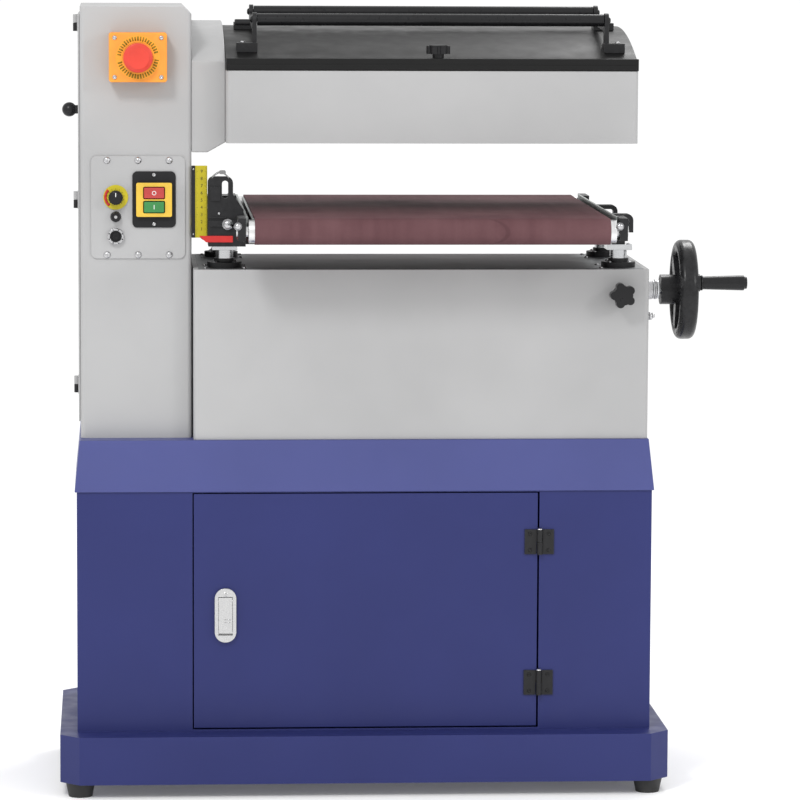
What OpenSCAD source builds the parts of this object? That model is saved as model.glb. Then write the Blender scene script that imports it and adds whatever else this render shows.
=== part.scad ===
// Open-ended drum sander: a power-fed thickness sander on a cabinet stand.
// Millimetres. +Z is up, -Y is the operator's side and +X is the open end of the drum.
// Heights are above the floor. X and Y are measured from the middle of the plinth;
// place() then moves every piece so that the origin lies on the floor under the middle
// of the machine's bounding box, which is off the plinth's middle because of the crank.

/* [Stand] */
// Width of the plinth
plinth_w = 850; // [840:2:880]
// Depth of the plinth
plinth_d = 404; // [400:2:440]
// Height of the plinth's side
plinth_h = 67; // [60:1:80]
// Width of the plinth's corner chamfers
plinth_chamfer = 27; // [20:1:34]
// Height of the rubber feet
foot_h = 20; // [16:1:26]
// Width of the cabinet
cabinet_w = 802; // [796:2:810]
// Depth of the cabinet
cabinet_d = 314; // [310:2:330]
// Height of the cabinet up to its skirt
cabinet_h = 337; // [320:1:350]
// Height of the sloped skirt
skirt_h = 71; // [60:1:80]
// Width of the cabinet door
door_w = 480; // [460:2:484]

/* [Base and column] */
// Left end of the base box
base_left = -239; // [-239:1:-236]
// Right end of the base box
base_right = 396; // [392:1:397]
// Depth of the base box
base_d = 285; // [280:1:286]
// Height of the base box
base_h = 237; // [230:1:240]
// Width of the column
column_w = 154; // [150:1:154]
// Depth of the column
column_d = 262; // [255:1:264]
// Height of the column above the skirt
column_h = 599; // [590:1:610]

/* [Sanding head] */
// Length of the drum housing
head_len = 572; // [560:2:576]
// Depth of the drum housing
head_d = 300; // [296:2:304]
// Height of the drum housing's sides
head_h = 100; // [98:1:104]
// Height of the housing's lower edge above the floor
head_z = 907; // [904:1:912]
// Radius of the hood's curved top
hood_r = 740; // [720:5:760]
// Diameter of the bare sanding drum
drum_dia = 125; // [120:1:126]
// Length of the sanding drum
drum_len = 480; // [470:2:490]

/* [Conveyor table] */
// Width of the conveyor belt
belt_w = 485; // [470:1:490]
// Distance between the two belt rollers
roller_pitch = 508; // [500:2:520]
// Diameter of the belt rollers
roller_dia = 32; // [30:1:34]
// Height of the belt's upper face, with the table near its lowest place
belt_z = 811; // [809:1:812]
// Thickness of the conveyor belt
belt_t = 1.6; // [1:0.1:2]

/* [Handwheel] */
// Diameter of the handwheel
wheel_dia = 140; // [130:1:150]
// Height of the handwheel's axis
wheel_z = 698; // [690:1:705]
// Free end of the crank handle
crank_end = 535; // [530:1:540]

/* [Hidden] */

$fn = 64;

// Colours
blue = [0.20, 0.21, 0.46];
light_grey = [0.74, 0.74, 0.74];
black = [0.06, 0.06, 0.07];
steel = [0.72, 0.73, 0.75];
rubber = [0.05, 0.05, 0.05];
red = [0.72, 0.10, 0.10];
green = [0.10, 0.50, 0.25];
yellow = [0.90, 0.76, 0.12];
orange = [0.90, 0.38, 0.12];
maroon = [0.40, 0.24, 0.25];

// Thickness of the sheet metal
sheet = 2;
// Radial running clearance of a shaft in its bore
run_fit = 0.05;
// Gap between pieces on different bodies
gap = 0.4;
// A cut runs past the surface by this much
past = 1;

mid_x = (crank_end - plinth_w / 2) / 2;

plinth_top = foot_h + plinth_h;
cabinet_top = plinth_top + cabinet_h;
skirt_top = cabinet_top + skirt_h;
base_top = skirt_top + base_h;
column_top = skirt_top + column_h;
column_left = base_left - 2 - column_w;
column_right = base_left - 2;
column_mid = (column_left + column_right) / 2;
base_front = -142;
base_back = base_front + base_d;
column_front = -117;
column_back = column_front + column_d;

door_left = -239;
door_right = door_left + door_w;
door_z0 = plinth_top + 4;
door_z1 = cabinet_top - 3;
door_depth = 18;
cabinet_front = -cabinet_d / 2;
door_axis = [door_right + 2.6, cabinet_front - 4.5];

head_left = -194;
head_right = head_left + head_len;
head_front = base_front;
head_back = head_front + head_d;
head_top = head_z + head_h;
hood_axis = [head_back + 4.5, head_top + 4];

drum_y = head_front + 150;
drum_z = head_z + 60;
drum_x0 = -158;
drum_x1 = drum_x0 + drum_len;
drive_x = column_mid;
motor_y = 0;
motor_z = 300;

lift_x = [-195, 357];
lift_y = [-97, 93];
wheel_y = -70;
drive_shaft_x = 280;
chain_z = skirt_top + 28;

table_y = roller_pitch / 2;
roller_z = belt_z - belt_t - gap - roller_dia / 2;
belt_x0 = -158;
belt_x1 = belt_x0 + belt_w;

panel_y = column_front;

// Moves a piece from plinth coordinates to the machine's own origin
module place() {
    translate([-mid_x, 0, 0]) children();
}

// A block from its lowest to its highest corner
module block(low, high) {
    translate(low) cube(high - low);
}

// A round bar along X at a height and depth
module rod_x(x0, x1, y, z, r) {
    translate([x0, y, z]) rotate([0, 90, 0]) cylinder(h = x1 - x0, r = r);
}

// A round bar along Y at a place across and a height
module rod_y(y0, y1, x, z, r) {
    translate([x, y1, z]) rotate([90, 0, 0]) cylinder(h = y1 - y0, r = r);
}

// A round bar along Z
module rod_z(z0, z1, x, y, r) {
    translate([x, y, z0]) cylinder(h = z1 - z0, r = r);
}

// A rectangle about the origin with true arcs at its corners
module rounded_rectangle(w, h, r) {
    square([w - 2 * r, h], center = true);
    square([w, h - 2 * r], center = true);
    for (sx = [-1, 1], sy = [-1, 1])
        translate([sx * (w / 2 - r), sy * (h / 2 - r)]) circle(r = r);
}

// A rounded plate standing in the X-Z plane, from y0 to y1
module front_plate(x, z, w, h, r, y0, y1) {
    translate([x, y1, z]) rotate([90, 0, 0]) linear_extrude(y1 - y0)
        rounded_rectangle(w, h, r);
}

// A profile of [y, z] points drawn out along X
module along_x(x0, x1) {
    translate([x0, 0, 0]) rotate([90, 0, 90]) linear_extrude(x1 - x0) children();
}

// A profile of [x, z] points drawn out along Y
module along_y(y0, y1) {
    translate([0, y1, 0]) rotate([90, 0, 0]) linear_extrude(y1 - y0) children();
}

// A rectangle with its four corners cut at 45 degrees
module octagon(w, d, c) {
    polygon([[w / 2 - c, -d / 2], [w / 2, -d / 2 + c], [w / 2, d / 2 - c],
        [w / 2 - c, d / 2], [c - w / 2, d / 2], [-w / 2, d / 2 - c],
        [-w / 2, c - d / 2], [c - w / 2, -d / 2]]);
}

// Places a child at each of the four feet
module at_feet() {
    for (sx = [-1, 1], sy = [-1, 1])
        translate([sx * (plinth_w / 2 - 28), sy * (plinth_d / 2 - 30), 0]) children();
}

// Places a child at each of the four lift columns
module at_lifts() {
    for (x = lift_x, y = lift_y) translate([x, y, 0]) children();
}

// ---------- Stand ----------

gusset_t = 4;
stud_r = 5;

module plinth() {
    color(blue) place() difference() {
        union() {
            difference() {
                translate([0, 0, foot_h]) linear_extrude(plinth_h)
                    octagon(plinth_w, plinth_d, plinth_chamfer);
                translate([0, 0, foot_h - past])
                    linear_extrude(plinth_h - 3 + past)
                    octagon(plinth_w - 6, plinth_d - 6, plinth_chamfer - 1.8);
            }
            translate([0, 0, foot_h]) linear_extrude(gusset_t) intersection() {
                octagon(plinth_w - 3, plinth_d - 3, plinth_chamfer - 1);
                for (sx = [-1, 1], sy = [-1, 1])
                    translate([sx * (plinth_w / 2 - 35), sy * (plinth_d / 2 - 35)])
                        square(70, center = true);
            }
        }
        at_feet() translate([0, 0, foot_h - past])
            cylinder(h = gusset_t + 2 * past, r = stud_r + 0.5);
    }
}

// Tapered rubber feet, each moulded on a threaded stud with a nut above the gusset
module rubber_feet() {
    color(rubber) place() at_feet() {
        cylinder(h = foot_h, r1 = 16.5, r2 = 20.5);
        translate([0, 0, foot_h - past]) cylinder(h = gusset_t + 16, r = stud_r);
        translate([0, 0, foot_h + gusset_t]) cylinder(h = 8, r = 9.5, $fn = 6);
    }
}

module cabinet_body() {
    lip = 26;
    color(blue) place() {
        difference() {
            block([-cabinet_w / 2, cabinet_front, plinth_top],
                [cabinet_w / 2, -cabinet_front, cabinet_top]);
            block([-cabinet_w / 2 + sheet, cabinet_front + sheet, plinth_top + sheet],
                [cabinet_w / 2 - sheet, -cabinet_front - sheet, cabinet_top + past]);
            block([door_left - 1.8, cabinet_front - past, door_z0 - 1.8],
                [door_right + 2.4, cabinet_front + sheet + past, door_z1 + 1.5]);
        }
        // the strips' folded edges beside the door, and the rail behind its top edge
        block([door_left - 3.8, cabinet_front + sheet / 2, plinth_top + 1],
            [door_left - 1.8, cabinet_front + lip, cabinet_top]);
        block([door_right + 2.4, cabinet_front + sheet / 2, plinth_top + 1],
            [door_right + 4.4, cabinet_front + lip, cabinet_top]);
        block([door_left - 3, cabinet_front + lip - 4, cabinet_top - 26],
            [door_right + 4, cabinet_front + lip - 2, cabinet_top]);
    }
}

skirt_over = 3;
skirt_slope_x = 7;
skirt_slope_y = 13;
belt_slot = [56, 170];

// The sloped cap of the cabinet: two crossed trapezoid prisms, hollow below
module skirt_form(inset) {
    w = cabinet_w / 2 + skirt_over - inset;
    d = cabinet_d / 2 + skirt_over - inset;
    top = skirt_top - inset;
    low = cabinet_top - (inset > 0 ? past : 0);
    intersection() {
        along_y(-d, d) polygon([[-w, low], [w, low],
            [w - skirt_slope_x, top], [-w + skirt_slope_x, top]]);
        along_x(-w, w) polygon([[-d, low], [d, low],
            [d - skirt_slope_y, top], [-d + skirt_slope_y, top]]);
    }
}

module cabinet_skirt() {
    color(blue) place() difference() {
        skirt_form(0);
        skirt_form(sheet);
        // way through for the drive belt
        block([drive_x - belt_slot[0] / 2, motor_y - belt_slot[1] / 2, skirt_top - 20],
            [drive_x + belt_slot[0] / 2, motor_y + belt_slot[1] / 2, skirt_top + past]);
    }
}

// One hinge standing on end: a leaf on each side of a knuckle, with its pin.
// The knuckle is split in height: the frame leaf has the lower half.
knuckle_r = 4;
pin_r = 2;

module frame_leaf(leaf, h, packer = 0) {
    translate([0, 0, -h / 2]) cylinder(h = h / 2 - gap / 2, r = knuckle_r);
    translate([0, 0, -h / 2]) cylinder(h = h - 2, r = pin_r);
    translate([0, knuckle_r - 2, -h / 2]) cube([leaf, 2.5, h / 2 - gap / 2]);
    translate([knuckle_r + gap, knuckle_r - 2, -h / 2])
        cube([leaf - knuckle_r - gap, 2.5 + packer, h]);
}

module moving_leaf(leaf, h) {
    difference() {
        union() {
            translate([0, 0, gap / 2]) cylinder(h = h / 2 - gap / 2, r = knuckle_r);
            translate([-leaf, knuckle_r - 2, gap / 2]) cube([leaf, 2.5, h / 2 - gap / 2]);
            translate([-leaf, knuckle_r - 2, -h / 2])
                cube([leaf - knuckle_r - gap, 2.5, h]);
        }
        translate([0, 0, -past]) cylinder(h = h / 2 + past + 1 - 2, r = pin_r + run_fit);
    }
}

door_hinge_h = 35;
door_hinge_z = [153, 352];
side_hinge_h = 24;
side_hinge_z = [545, 812, 1066];
side_door_t = 2.5;
side_axis = [column_left - side_door_t - gap - 4.5, column_back - 22];
hood_hinge_w = 50;
hood_hinge_x = [-80, 264];

// Fixed leaves of all the hinges: cabinet door, column door and hood
module hinge_frame_leaves() {
    color(black) place() {
        for (z = door_hinge_z)
            translate([door_axis[0], door_axis[1], z]) frame_leaf(20, door_hinge_h);
        for (z = side_hinge_z)
            translate([side_axis[0], side_axis[1], z]) rotate([0, 0, 90]) mirror([0, 1, 0])
                frame_leaf(16, side_hinge_h, side_door_t + gap);
        for (x = hood_hinge_x)
            translate([x, hood_axis[0], hood_axis[1]]) rotate([0, 90, 0]) mirror([0, 1, 0])
                frame_leaf(22, hood_hinge_w);
    }
}

module cabinet_door() {
    color(blue) place() difference() {
        block([door_left, cabinet_front, door_z0],
            [door_right, cabinet_front + door_depth, door_z1]);
        block([door_left + sheet, cabinet_front + sheet, door_z0 + sheet],
            [door_right - sheet, cabinet_front + door_depth + past, door_z1 - sheet]);
        front_plate(latch_x, latch_z, latch_w - 8, latch_h - 8, 8,
            cabinet_front - past, cabinet_front + sheet + past);
    }
}

module cabinet_door_hinges() {
    color(black) place() for (z = door_hinge_z)
        translate([door_axis[0], door_axis[1], z]) moving_leaf(21, door_hinge_h);
}

latch_x = -195;
latch_z = 251;
latch_w = 30;
latch_h = 76;
paddle_w = 19;
paddle_h = 50;
paddle_axis_z = latch_z + paddle_h / 2 - 5;
paddle_axis_y = cabinet_front - 3;

module latch_body() {
    color(steel) place() difference() {
        union() {
            front_plate(latch_x, latch_z, latch_w, latch_h, latch_w / 2 - 0.5,
                cabinet_front - 6, cabinet_front);
            front_plate(latch_x, latch_z, latch_w - 9, latch_h - 9, 8,
                cabinet_front - 1, cabinet_front + 16);
        }
        // recess that the paddle lies in
        block([latch_x - paddle_w / 2 - 0.5, cabinet_front - 7,
                latch_z - paddle_h / 2 - 3],
            [latch_x + paddle_w / 2 + 0.5, cabinet_front + 3, latch_z + paddle_h / 2 + 1]);
        rod_x(latch_x - paddle_w / 2 - 3, latch_x + paddle_w / 2 + 3,
            paddle_axis_y, paddle_axis_z, 1.5 + run_fit);
    }
}

module latch_paddle() {
    color(steel) place() {
        block([latch_x - paddle_w / 2, cabinet_front - 5, latch_z - paddle_h / 2],
            [latch_x + paddle_w / 2, cabinet_front - 1, latch_z + paddle_h / 2]);
        rod_x(latch_x - paddle_w / 2 - 2.6, latch_x + paddle_w / 2 + 2.6,
            paddle_axis_y, paddle_axis_z, 1.5);
    }
}

// ---------- Base box and height drive ----------

flange_r = 24;
flange_h = 13;
tube_r = 12;
shaft_r = 6;
screw_r = 8;
lock_x = 356;
lock_z = 698;
lock_stud_r = 4;
chain_r = 22;
drive_chain_r = wheel_y - lift_y[0] + chain_r;
mitre_r = 18;
screw_top = base_top + 6;

module base_box() {
    w = base_right - base_left;
    color(light_grey) place() difference() {
        translate([(base_left + base_right) / 2, (base_front + base_back) / 2, skirt_top])
            linear_extrude(base_h) rounded_rectangle(w, base_d, 6);
        translate([(base_left + base_right) / 2, (base_front + base_back) / 2,
                skirt_top - past])
            linear_extrude(base_h - 3 + past)
            rounded_rectangle(w - 2 * sheet, base_d - 2 * sheet, 4);
        at_lifts() translate([0, 0, base_top - 5]) cylinder(h = 7, r = tube_r + 1);
        rod_x(base_right - 4, base_right + past, wheel_y, wheel_z, 11);
        rod_y(base_front - past, base_front + 4, lock_x, lock_z, lock_stud_r + run_fit);
    }
}

// Flanged guide bushes that the lift columns slide in
module jack_flanges() {
    color(black) place() at_lifts() difference() {
        union() {
            translate([0, 0, base_top]) cylinder(h = flange_h - 5, r = flange_r);
            translate([0, 0, base_top + flange_h - 6]) cylinder(h = 6, r = tube_r + 2.5);
            translate([0, 0, base_top - 30]) cylinder(h = 31, r = tube_r + 0.9);
        }
        translate([0, 0, base_top - 31]) cylinder(h = 46, r = tube_r + run_fit);
    }
}

// A button-head screw with a hexagon socket, standing on z = 0
module button_head(r) {
    difference() {
        intersection() {
            translate([0, 0, -r * 0.62]) sphere(r = r * 1.2);
            cylinder(h = r, r = r);
        }
        translate([0, 0, r * 0.25]) cylinder(h = r, r = r * 0.45, $fn = 6);
    }
}

// Screws of the jack flanges, the control plate and the handwheel bearing
module button_head_screws() {
    color(steel) place() {
        at_lifts() for (a = [45:90:315])
            rotate([0, 0, a]) translate([flange_r - 4.6, 0, base_top + flange_h - 5])
                button_head(3.6);
        for (x = panel_screw_x, z = panel_screw_z)
            translate([x, panel_y - 2.5, z]) rotate([90, 0, 0]) button_head(5);
        for (a = [45:90:315])
            translate([base_right + 3, wheel_y, wheel_z]) rotate([a, 0, 0])
                translate([0, 0, 19]) rotate([0, 90, 0]) button_head(3);
    }
}

// Five-lobed clamping knob on a stud that bears on the front right lift column
module height_lock_knob() {
    lobe = 12;
    color(black) place() {
        for (a = [0:72:288])
            translate([lock_x, 0, lock_z]) rotate([0, a, 0])
                rod_y(base_front - 33, base_front - 17, -lobe, 0, 6);
        rod_y(base_front - 33, base_front - 15, lock_x, lock_z, 13.5);
        rod_y(base_front - 16, base_front - 5, lock_x, lock_z, 8);
        rod_y(base_front - 6, lift_y[0] - tube_r - 2.4, lock_x, lock_z, lock_stud_r);
    }
}

wheel_x = 454;
wheel_r = wheel_dia / 2;
crank_r = 57;
crank_angle = 14;
crank_turn = 270 - crank_angle;

drum_shaft_r = 12;

// Bearings of the handwheel's shaft and, in the housing's two end walls, of the drum
module shaft_bearings() {
    color(steel) place() {
        handwheel_bearing();
        drum_bearing(head_left + 2.5, 0);
        drum_bearing(head_right - 22.5, 15);
    }
}

module handwheel_bearing() {
    difference() {
        union() {
            rod_x(base_right, base_right + 3, wheel_y, wheel_z, 24);
            rod_x(base_right, base_right + 13, wheel_y, wheel_z, 14);
            rod_x(base_right - 26, base_right + 1, wheel_y, wheel_z, 10.6);
        }
        rod_x(base_right - 27, base_right + 14, wheel_y, wheel_z, shaft_r + run_fit);
    }
}

// A flanged bearing whose flange stands flange_at from its left face
module drum_bearing(x0, flange_at) {
    difference() {
        union() {
            rod_x(x0, x0 + 20, drum_y, drum_z, 28);
            rod_x(x0 + flange_at, x0 + flange_at + 5, drum_y, drum_z, 34);
        }
        rod_x(x0 - past, x0 + 20 + past, drum_y, drum_z, drum_shaft_r + run_fit);
    }
}

// Dished hand wheel: rim, three spokes and hub
module handwheel() {
    rim_w = 26;
    color(black) place() translate([wheel_x, wheel_y, wheel_z]) rotate([0, 90, 0])
        difference() {
            union() {
                rotate_extrude($fn = 96) translate([wheel_r - 9, 0])
                    rounded_rectangle(18, rim_w, 8.5);
                for (a = [0:120:240]) rotate([0, 0, crank_turn + a]) {
                    translate([14, -9, -12]) cube([wheel_r - 26, 18, 12]);
                    translate([wheel_r - 24, 0, -12]) cylinder(h = 13, r = 9);
                }
                translate([0, 0, -34]) cylinder(h = 34, r = 21);
                translate([0, 0, -1]) cylinder(h = 5, r1 = 21, r2 = 17);
                // boss for the crank handle
                rotate([0, 0, crank_turn]) translate([crank_r, 0, -12])
                    cylinder(h = 27, r = 12);
            }
            translate([0, 0, -35]) cylinder(h = 36, r = shaft_r);
            rotate([0, 0, crank_turn]) translate([crank_r, 0, -6])
                cylinder(h = 30, r = 4.5);
        }
}

// Shaft of the handwheel with its mitre gear, shown as its pitch cone
module handwheel_shaft() {
    back = drive_shaft_x + mitre_r + 0.6;
    color(steel) place() {
        rod_x(back - 2, wheel_x - 2, wheel_y, wheel_z, shaft_r);
        translate([back - 10, wheel_y, wheel_z]) rotate([0, 90, 0])
            cylinder(h = 10, r1 = mitre_r - 10, r2 = mitre_r);
        rod_x(back - past, back + 8, wheel_y, wheel_z, mitre_r - 4);
        rod_x(base_right + 13.4, base_right + 22, wheel_y, wheel_z, 13);
    }
}

// Revolving handle on its own stud
module crank_handle() {
    x0 = wheel_x + 15.5;
    color(black) place() translate([0, wheel_y, wheel_z]) rotate([-crank_angle, 0, 0])
        translate([0, -crank_r, 0]) {
            translate([x0, 0, 0]) rotate([0, 90, 0])
                cylinder(h = crank_end - x0 - 4, r1 = 9, r2 = 10.7);
            rod_x(crank_end - 4.01, crank_end, 0, 0, 8.5);
            rod_x(wheel_x - 4, x0 + 1, 0, 0, 4.5 - run_fit);
        }
}

// Upright shaft in the base: mitre gear on top, chain wheel below
module lift_drive_shaft() {
    back = wheel_z - mitre_r;
    color(steel) place() translate([drive_shaft_x, wheel_y, 0]) {
        rod_z(skirt_top + 10, back + 2, 0, 0, screw_r);
        translate([0, 0, back]) cylinder(h = 10, r1 = mitre_r, r2 = mitre_r - 10);
        rod_z(back - 8, back + past, 0, 0, mitre_r - 4);
        rod_z(chain_z - 4, chain_z + 4, 0, 0, chain_r - 3);
        rod_z(chain_z - 1.5, chain_z + 1.5, 0, 0, drive_chain_r);
    }
}

// Lift screw with its chain wheel, standing in the bearing plate
module leadscrew(x, y) {
    color(steel) place() translate([x, y, 0]) {
        rod_z(skirt_top + 10, screw_top, 0, 0, screw_r);
        rod_z(chain_z - 4, chain_z + 4, 0, 0, chain_r - 3);
        rod_z(chain_z - 1.5, chain_z + 1.5, 0, 0, chain_r);
    }
}

module leadscrew_front_left() {
    leadscrew(lift_x[0], lift_y[0]);
}

module leadscrew_front_right() {
    leadscrew(lift_x[1], lift_y[0]);
}

module leadscrew_rear_left() {
    leadscrew(lift_x[0], lift_y[1]);
}

module leadscrew_rear_right() {
    leadscrew(lift_x[1], lift_y[1]);
}

module screw_bearing_plate() {
    color(steel) place() difference() {
        union() {
            block([base_left + 4, base_front + 4, skirt_top],
                [base_right - 4, base_back - 4, skirt_top + 5]);
            at_lifts() translate([0, 0, skirt_top]) cylinder(h = 20, r = 15);
            rod_z(skirt_top, skirt_top + 20, drive_shaft_x, wheel_y, 15);
        }
        at_lifts() translate([0, 0, skirt_top + 7])
            cylinder(h = 20, r = screw_r + run_fit);
        rod_z(skirt_top + 7, skirt_top + 30, drive_shaft_x, wheel_y, screw_r + run_fit);
    }
}

// Roller chain that turns the four screws together, as a plain band
module lift_chain() {
    out = chain_r + 5;
    in = chain_r + gap;
    x0 = lift_x[0];
    x1 = lift_x[1];
    y0 = lift_y[0];
    y1 = lift_y[1];
    color(steel) place() translate([0, 0, chain_z - 3]) linear_extrude(6) difference() {
        union() {
            translate([x0, y0 - out]) square([x1 - x0, y1 - y0 + 2 * out]);
            translate([x0 - out, y0]) square([x1 - x0 + 2 * out, y1 - y0]);
            for (x = lift_x, y = lift_y) translate([x, y]) circle(r = out);
        }
        translate([x0, y0 - in]) square([x1 - x0, y1 - y0 + 2 * in]);
        translate([x0 - in, y0]) square([x1 - x0 + 2 * in, y1 - y0]);
        for (x = lift_x, y = lift_y) translate([x, y]) circle(r = in);
    }
}

// ---------- Column ----------

side_door_y = [column_front + 14, column_back - 14];
side_door_z = [skirt_top + 22, column_top - 12];
panel_x = column_mid + 3;
panel_z = 817;
panel_w = 130;
panel_h = 142;
panel_screw_x = [panel_x - 43, panel_x, panel_x + 43];
panel_screw_z = [751, 882];
switch_x = panel_x + 22;
switch_z = 828;
dial_x = panel_x - 31;
dial_z = 831;
stop_x = panel_x;
stop_z = 1025;

module column_shell() {
    bevel = 10;
    color(light_grey) place() difference() {
        intersection() {
            translate([column_mid, (column_front + column_back) / 2, skirt_top])
                linear_extrude(column_h) rounded_rectangle(column_w, column_d, 6);
            along_y(column_front - past, column_back + past) polygon([
                [column_left - past, skirt_top], [column_right + past, skirt_top],
                [column_right + past, column_top - bevel - past],
                [column_right - bevel - past, column_top + past],
                [column_left - past, column_top + past]]);
        }
        translate([column_mid, (column_front + column_back) / 2, skirt_top - past])
            linear_extrude(column_h - sheet - bevel + past)
            rounded_rectangle(column_w - 2 * sheet, column_d - 2 * sheet, 4);
        // opening behind the side door, and the way for the drum shaft and the neck
        block([column_left - past, side_door_y[0] + 12, side_door_z[0] + 12],
            [column_left + sheet + past, side_door_y[1] - 34, side_door_z[1] - 12]);
        rod_x(column_right - 4, column_right + past, drum_y, drum_z, 40);
        rod_y(column_front - past, column_front + 4, dial_x, dial_z, 4);
        block([switch_x - 17, column_front - past, switch_z - 20],
            [switch_x + 17, column_front + sheet + past, switch_z + 20]);
    }
}

module column_side_door() {
    color(light_grey) place() {
        difference() {
            block([column_left - side_door_t - gap, side_door_y[0], side_door_z[0]],
                [column_left - gap, side_axis[1] - 6, side_door_z[1]]);
            block([column_left - side_door_t - past, side_door_y[0] + 40, side_door_z[0] + 90],
                [column_left - side_door_t + 0.6, side_axis[1] - 46, side_door_z[1] - 90]);
        }
        for (z = side_hinge_z)
            translate([side_axis[0], side_axis[1], z]) rotate([0, 0, 90]) mirror([0, 1, 0])
                moving_leaf(20, side_hinge_h);
    }
}

module side_door_knob() {
    ball_r = 10;
    x = column_left - side_door_t - gap;
    color(black) place() translate([x, side_door_y[0] + 16, 951]) rotate([0, -90, 0])
        rotate_extrude() {
            square([6, 4]);
            square([3.5, 8]);
            intersection() {
                translate([0, 12]) circle(r = ball_r);
                square([ball_r + past, 12 + ball_r + past]);
            }
        }
}

// Raised plate on the column's front, with bosses for a fuse cap and a round socket
module control_plate() {
    color(light_grey) place() difference() {
        union() {
            front_plate(panel_x, panel_z, panel_w, panel_h, 8, panel_y - 2.5, panel_y);
            rod_y(panel_y - 4, panel_y - 2, dial_x, dial_z, 17);
            rod_y(panel_y - 12, panel_y - 2, dial_x, dial_z - 27, 6);
            rod_y(panel_y - 9, panel_y - 2, dial_x, dial_z - 54, 11);
        }
        rod_y(panel_y - past - 4, panel_y + past, dial_x, dial_z, 3 + run_fit);
        rod_y(panel_y - past - 9, panel_y - 5, dial_x, dial_z - 54, 8);
        block([switch_x - 17, panel_y - 3.5, switch_z - 20],
            [switch_x + 17, panel_y + past, switch_z + 20]);
    }
}

module switch_plate() {
    color(black) place() difference() {
        union() {
            front_plate(switch_x, switch_z, 60, 78, 7, panel_y - 5, panel_y - 2.5);
            front_plate(switch_x, switch_z, 49, 47, 5, panel_y - 12, panel_y - 4);
        }
        for (z = [switch_z + 9.5, switch_z - 10])
            block([switch_x - 14.4, panel_y - 13, z - 7.9],
                [switch_x + 14.4, panel_y - 2, z + 7.9]);
    }
}

// A rocker-sized push button in the switch plate
module push_button(z) {
    block([switch_x - 14, panel_y - 15, z - 7.5], [switch_x + 14, panel_y + 6, z + 7.5]);
}

module stop_button() {
    color(red) place() push_button(switch_z + 9.5);
}

module start_button() {
    color(green) place() push_button(switch_z - 10);
}

module speed_knob() {
    color(black) place() {
        rod_y(panel_y - 18, panel_y - 4.4, dial_x, dial_z, 9);
        rod_y(panel_y - 20, panel_y - 17, dial_x, dial_z, 7.5);
        rod_y(panel_y - 5, panel_y + 12, dial_x, dial_z, 3);
    }
}

module emergency_stop_box() {
    color(orange) place() difference() {
        front_plate(stop_x, stop_z, 80, 68, 4, panel_y - 34, panel_y);
        rod_y(panel_y - 35, panel_y + past, stop_x, stop_z, 11 + run_fit);
    }
}

module emergency_stop_button() {
    color(red) place() {
        translate([stop_x, panel_y - 42, stop_z]) rotate([90, 0, 0])
            cylinder(h = 11, r = 20);
        translate([stop_x, panel_y - 52.9, stop_z]) rotate([90, 0, 0])
            cylinder(h = 4, r1 = 20, r2 = 15);
        rod_y(panel_y - 43, panel_y - 12, stop_x, stop_z, 11);
    }
}

module depth_scale() {
    x0 = column_right + 0.6;
    color(yellow) place() {
        block([x0, base_front + 20, base_top + 43], [x0 + 4, base_front + 24, base_top + 143]);
        block([x0 + 2, base_front + 20, base_top + 43],
            [x0 + 21, base_front + 22, base_top + 143]);
        // foot that holds it to the column's side
        block([column_right, base_front + 33, base_top + 60],
            [x0 + 4, base_front + 40, base_top + 70]);
        block([x0, base_front + 22, base_top + 60], [x0 + 4, base_front + 34, base_top + 70]);
    }
}

// ---------- Sanding head ----------

neck_front = column_front + 3;
neck_back = column_back - 6;
neck_top = head_top + 63;
neck_r = 572;
hood_apex_y = head_front + 264;

// Outline of the neck seen from the front, with its lower corner cut off
module neck_outline(inset) {
    side = past * sign(inset);
    polygon([[column_right - side, head_z - 14 + inset], [column_right + 22, head_z - 14 + inset],
        [head_left + side, head_z + inset], [head_left + side, neck_top],
        [column_right - side, neck_top]]);
}

// Section of the neck: upright front and back, and a top that arches to the rear
module neck_section(inset) {
    intersection() {
        translate([neck_front + inset, head_z - 20])
            square([neck_back - neck_front - 2 * inset, neck_top - head_z + 20]);
        translate([hood_apex_y, neck_top - neck_r]) circle(r = neck_r - inset, $fn = 360);
    }
}

module neck_form(inset) {
    intersection() {
        along_y(neck_front, neck_back) neck_outline(inset);
        along_x(column_right - past, head_left + past) neck_section(inset);
    }
}

// Grey casing that joins the column to the drum housing, around the drum shaft
module neck() {
    color(light_grey) place() difference() {
        neck_form(0);
        neck_form(3);
    }
}

seat = 24;
knob_x = 100;
knob_y = head_front + 13;

// Drum housing: four walls with folded seats for the hood, open above and below
module drum_housing() {
    y_mid = (head_front + head_back) / 2;
    x_mid = (head_left + head_right) / 2;
    color(light_grey) place() difference() {
        union() {
            difference() {
                translate([x_mid, y_mid, head_z]) linear_extrude(head_h)
                    rounded_rectangle(head_len, head_d, 7);
                translate([x_mid, y_mid, head_z + 3]) linear_extrude(head_h - 6)
                    rounded_rectangle(head_len - 5, head_d - 5, 4.5);
                translate([x_mid, y_mid, head_z - past]) linear_extrude(head_h + 2 * past)
                    rounded_rectangle(head_len - 32, head_d - 2 * seat, 3);
            }
            // bosses at both ends of the pressure rollers
            for (y = press_y, x = [head_left + 2, head_right - 13])
                block([x, y - 10, head_z + 2], [x + 11, y + 10, press_z + 10]);
        }
        for (y = press_y)
            rod_x(head_left + 2.6, head_right - 2.6, y, press_z, 5 + run_fit);
        rod_x(head_left - past, head_left + 4, drum_y, drum_z, 30);
        rod_y(head_back - 4, head_back + past, knob_x, port_z, port_r - 2);
        rod_z(head_top - 4, head_top + past, knob_x, knob_y, 6);
    }
}

port_r = 50;
port_z = head_z + 50;
port_len = 55;

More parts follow.
